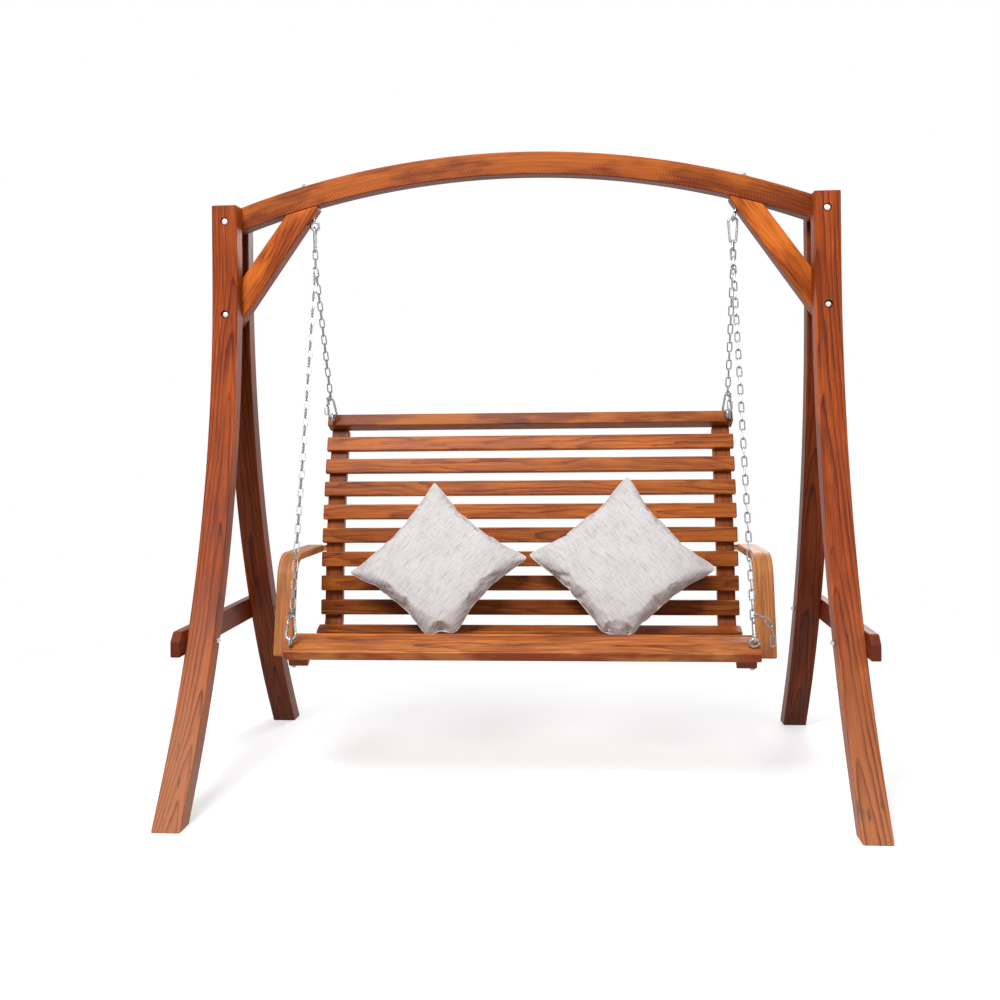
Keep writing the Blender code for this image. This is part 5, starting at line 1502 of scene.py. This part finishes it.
def inflate(obj):
    """Remesh the pillow and let air pressure puff the cloth, with a cap on how far a point moves."""
    modify(obj, "REMESH", mode="VOXEL", voxel_size=PILLOW_VOXEL)
    before = coordinates(obj.data)
    modifier = obj.modifiers.new("cloth", "CLOTH")
    for name, value in CLOTH.items():
        setattr(modifier.settings, name, value)
    modifier.settings.effector_weights.gravity = 0
    modifier.collision_settings.use_collision = False
    modifier.point_cache.frame_start = 1
    modifier.point_cache.frame_end = CLOTH_FRAMES
    for step in range(1, CLOTH_FRAMES + 1):
        bpy.context.scene.frame_set(step)
    apply_modifiers(obj)
    move = coordinates(obj.data) - before
    length = np.linalg.norm(move, axis=1, keepdims=True)
    after = before + move * np.minimum(1, PILLOW_CAP / np.maximum(length, 1e-9))
    obj.data.vertices.foreach_set("co", after.ravel())
    bpy.context.scene.frame_set(1)


def seam_line(co):
    """The pillow's outermost line, as points in order round its middle."""
    angle = np.arctan2(co[:, 2], co[:, 0])
    radius = np.hypot(co[:, 0], co[:, 2])
    line = []
    for i in range(SEAM_STATIONS):
        middle = -math.pi + math.tau * (i + 0.5) / SEAM_STATIONS
        near = np.abs((angle - middle + math.pi) % math.tau - math.pi) < math.tau / SEAM_STATIONS
        chosen = np.where(near)[0]
        if len(chosen):
            line.append(co[chosen[np.argmax(radius[chosen])]])
    line = np.array(line)
    for _ in range(2):
        line = (np.roll(line, 1, 0) + 2 * line + np.roll(line, -1, 0)) / 4
    return line


def pinch(co, half):
    """Small gathers along the seam and creases that run in from the corners."""
    u = co[:, 0] / half
    v = co[:, 2] / half
    edge = np.clip(np.maximum(np.abs(u), np.abs(v)), 0, 1.05)
    near = np.clip((edge - 0.70) / 0.30, 0, 1)
    along = np.where(np.abs(u) > np.abs(v), v, u)
    gather = np.sin(along * 31 + np.sign(u) * 1.7 + np.sign(v) * 0.6) * 0.6 + np.sin(along * 53 + 1.1) * 0.4
    fold = np.zeros(len(co))
    for corner_u, corner_v, turn, reach in CREASES:
        way = math.atan2(-corner_v, -corner_u) + turn
        walk = (u - corner_u) * math.cos(way) + (v - corner_v) * math.sin(way)
        aside = (v - corner_v) * math.cos(way) - (u - corner_u) * math.sin(way)
        strength = np.clip(walk / 0.15, 0, 1) * np.clip(1 - walk / (reach * 1.3), 0, 1)
        fold += strength * (np.exp(-(aside / 0.045) ** 2) - 0.6 * np.exp(-((aside - 0.10) / 0.06) ** 2))
    out = co.copy()
    out[:, 1] -= np.sign(co[:, 1]) * (fold * CREASE_DEPTH - near * (1 - near) * 4 * GATHER_HEIGHT * gather)
    return out


def build_cushion(side, size_share, x_share, z, roll, obstacles):
    node = f"cushion_{SIDE_NAMES[side]}"
    half = size_share * SLAT_LENGTH / 2
    bm = pillow_mesh(half, CUSHION_THICKNESS * START_THICKNESS, START_DRAW, START_FULLNESS)
    pillow = add_object(node + "_look", bm)
    inflate(pillow)
    modify(pillow, "SUBSURF", levels=1)
    co = pinch(coordinates(pillow.data), half)
    thick = np.abs(co[:, 1])
    limit = CUSHION_THICKNESS / 2 * FLATTEN_FROM_SHARE
    flat = np.sign(co[:, 1]) * (limit + (thick - limit) * FLATTEN_SHARE)
    co[:, 1] = np.where(thick > limit, flat, co[:, 1])
    pillow.data.vertices.foreach_set("co", co.ravel())
    first, second = (0, 2) if side == LEFT else (2, 0)
    put_vectors(pillow.data, "weave", np.column_stack((co[:, first], co[:, second], np.sign(co[:, 1]) * 0.5)))
    lean = Matrix.Rotation(-CUSHION_LEAN, 4, "X")
    turn = Matrix.Rotation(roll, 4, "Y")
    matrix = Matrix.Translation((x_share * SLAT_LENGTH, CUSHION_CENTRE_Y, z)) @ lean @ turn
    pillow.data.transform(matrix)
    press(pillow, obstacles)
    pillow.data.shade_smooth()
    finish_piece(pillow, node, node, FABRIC)
    build_seam(node, seam_line(co), matrix, obstacles)


def build_seam(node, line, matrix, obstacles):
    bm = bmesh.new()
    tube(bm, wire([Vector(p) for p in line], SEAM_RADIUS, SEAM_FLAT), Y_AXIS, closed=True, sides=SEAM_SIDES)
    seam = add_object(node + "_seam", bm)
    steps = np.linalg.norm(line[1:] - line[:-1], axis=1)
    walked = np.concatenate(([0], np.cumsum(steps)))
    put_vectors(seam.data, "weave", [(run, k * SEAM_TURN, 0) for run in walked for k in range(SEAM_SIDES)])
    seam.data.transform(matrix)
    press(seam, obstacles)
    seam.data.shade_smooth()
    seam.data.materials.append(SEAM_THREAD)
    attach(seam, node)


def press(obj, obstacles):
    """Move points that lie in a board out to its face."""
    co = coordinates(obj.data)
    for tree, low, high in obstacles:
        for i in np.where(np.all((co > low) & (co < high), axis=1))[0]:
            spot = Vector(co[i])
            found, normal, *_ = tree.find_nearest(spot)
            if found is not None and (spot - found).dot(normal) < REST_GAP:
                co[i] = found + normal * REST_GAP
    obj.data.vertices.foreach_set("co", co.ravel())
    obj.data.update()


FABRIC = fabric_material("woven fabric", (0.72, 0.70, 0.70), (0.27, 0.25, 0.255))
SEAM_THREAD = thread_material("seam thread", (0.84, 0.80, 0.76))


def obstacle(obj):
    """A board's faces and its box, for press."""
    bm = bmesh.new()
    bm.from_mesh(obj.data)
    tree = BVHTree.FromBMesh(bm)
    bm.free()
    co = coordinates(obj.data)
    return tree, co.min(0) - BOX_MARGIN, co.max(0) + BOX_MARGIN


def build_all():
    for side, name in SIDE_NAMES.items():
        for end, end_name in END_NAMES.items():
            build_leg(f"leg_{end_name}_{name}", side, end)
        build_brace(f"brace_{name}", side)
        build_stretcher(f"stretcher_{name}", side)
        build_leg_bolt(f"post_bolt_upper_{name}", side, UPPER_BOLT_Z)
        build_leg_bolt(f"post_bolt_lower_{name}", side, LOWER_BOLT_Z)
        for end, end_name in END_NAMES.items():
            build_stretcher_bolt(f"stretcher_bolt_{end_name}_{name}", side, end)
        centre = upper_eye_centre(side)
        grip_end = BEAM_RADIUS - (centre - BEAM_CENTRE).length + NUT_GAP
        hint = X_AXIS if side == LEFT else Y_AXIS
        build_eye_bolt(f"eye_bolt_upper_{name}", "stand", centre, upper_eye_direction(side), hint, grip_end)
        build_side_frame(f"side_frame_{name}", side)
        build_arm(f"armrest_{name}", side)
    build_beam()
    boards = build_boards()
    for place in END_NAMES.values():
        flat, shank, grip_end = bench_eye(place)
        direction = side_to_space(0, shank)
        for side, name in SIDE_NAMES.items():
            hint = direction.cross(X_AXIS) if ring_along_side(place, side) else X_AXIS
            centre = side_to_space(side * CHAIN_X, flat)
            build_eye_bolt(f"eye_bolt_{place}_{name}", "swing", centre, direction, hint, grip_end + NUT_GAP)
    build_right_chains(build_upper_hook(RIGHT, X_AXIS))
    build_left_chains(build_upper_hook(LEFT, Y_AXIS))
    obstacles = [obstacle(board) for board in boards]
    build_cushion(LEFT, CUSHION_LEFT_SIZE_SHARE, CUSHION_LEFT_X_SHARE, CUSHION_Z_LEFT,
                  CUSHION_ROLL_LEFT, obstacles)
    build_cushion(RIGHT, CUSHION_RIGHT_SIZE_SHARE, CUSHION_RIGHT_X_SHARE, CUSHION_Z_RIGHT,
                  CUSHION_ROLL_RIGHT, obstacles)


# Studio

WHITE = (1, 1, 1)
FLOOR_GREY = (0.56, 0.56, 0.56)
FLOOR_RADIUS = 9
FLOOR_SEGMENTS = 64
FLOOR_FADE = (1.3, 3.0)
SKY_LOW = -0.25
SKY_HIGH = 0.35


def seen_ray(g):
    """One for rays from the camera, a mirror or glass, and nought for light that falls on the object."""
    path = g.node("LightPath").socket.node
    kinds = [Value(g, path.outputs[f"Is {kind} Ray"]) for kind in ("Camera", "Glossy", "Transmission")]
    return g.math("MAXIMUM", g.math("MAXIMUM", kinds[0], kinds[1]), kinds[2])


def build_floor():
    bm = bmesh.new()
    bmesh.ops.create_circle(bm, cap_ends=True, radius=FLOOR_RADIUS, segments=FLOOR_SEGMENTS)
    floor = add_object("studio_floor", bm)
    if floor.data.polygons[0].normal.z < 0:
        floor.data.flip_normals()
    g = material_graph("studio floor")
    x, y, _ = g.split(g.node("NewGeometry", output="Position"))
    clear = g.between(g.math("SQRT", x * x + y * y), *FLOOR_FADE)
    g.done(FLOOR_GREY, 0.9)
    g.shader.inputs["Specular IOR Level"].default_value = 0.1
    glow = g.node("MixShader", {0: seen_ray(g), 2: g.node("Emission", {"Strength": FLOOR_GLOW})})
    lit = g.node("AddShader", (Value(g, g.shader.outputs[0]), glow))
    surface = g.node("MixShader", (clear, lit, g.node("BsdfTransparent")))
    g.put(g.tree.nodes["Material Output"].inputs["Surface"], surface)
    floor.data.materials.append(g.owner)


def build_light():
    world = bpy.context.scene.world or bpy.data.worlds.new("studio")
    bpy.context.scene.world = world
    g = Graph(world)
    g.tree.nodes.clear()
    height = g.split(g.node("TexCoord", output="Generated"))[2]
    level = g.node("MapRange", (height, SKY_LOW, SKY_HIGH, AMBIENT_LOW, AMBIENT))
    soft = g.node("Background", {"Color": WHITE, "Strength": level})
    seen = g.node("Background", {"Color": WHITE})
    output = g.tree.nodes.new("ShaderNodeOutputWorld")
    g.put(output.inputs[0], g.node("MixShader", (seen_ray(g), soft, seen)))
    for name, place, size, power in LAMPS:
        data = bpy.data.lights.new(name, "AREA")
        data.shape = "DISK"
        data.size = size
        data.energy = power
        lamp = bpy.data.objects.new(name, data)
        bpy.context.scene.collection.objects.link(lamp)
        aim = LAMP_AIM - Vector(place)
        lamp.matrix_world = Matrix.Translation(place) @ aim.to_track_quat("-Z", "Y").to_matrix().to_4x4()


FLOOR_GLOW = 0.50
AMBIENT = 0.40
AMBIENT_LOW = 0.06
LAMP_AIM = Vector((0, 0, 0.8))

# Each lamp's name, place, width and power
LAMPS = (("key", (-1.2, -4.0, 4.8), 2.2, 340),
         ("fill", (3.4, -3.4, 3.0), 2.4, 42),
         ("back", (1.6, 4.6, 3.4), 3.0, 150))
CAMERA_PLACE = (0.193, -3.480, 0.990)
CAMERA_YAW = math.radians(-4.50)
CAMERA_PITCH = math.radians(0.115)
CAMERA_ROLL = math.radians(-0.549)
CAMERA_FOCUS = 1183.8
SENSOR_WIDTH = 36
PICTURE_WIDTH = 1000
CAMERA_SHIFT_X = 0.0038
CAMERA_SHIFT_Y = -0.0705


def build_camera():
    level = Vector((math.sin(CAMERA_YAW), math.cos(CAMERA_YAW), 0))
    ahead = level * math.cos(CAMERA_PITCH) + Z_AXIS * math.sin(CAMERA_PITCH)
    right = Vector((math.cos(CAMERA_YAW), -math.sin(CAMERA_YAW), 0))
    up = right.cross(ahead)
    tilted = right * math.cos(CAMERA_ROLL) + up * math.sin(CAMERA_ROLL)
    over = up * math.cos(CAMERA_ROLL) - right * math.sin(CAMERA_ROLL)
    data = bpy.data.cameras.new("camera")
    data.sensor_width = SENSOR_WIDTH
    data.lens = SENSOR_WIDTH * CAMERA_FOCUS / PICTURE_WIDTH
    data.shift_x = CAMERA_SHIFT_X
    data.shift_y = CAMERA_SHIFT_Y
    camera = bpy.data.objects.new("camera", data)
    bpy.context.scene.collection.objects.link(camera)
    camera.matrix_world = axes_matrix(Vector(CAMERA_PLACE), tilted, over, -ahead)
    bpy.context.scene.camera = camera
    bpy.context.scene.view_settings.view_transform = "Standard"


build_all()
build_floor()
build_light()
build_camera()
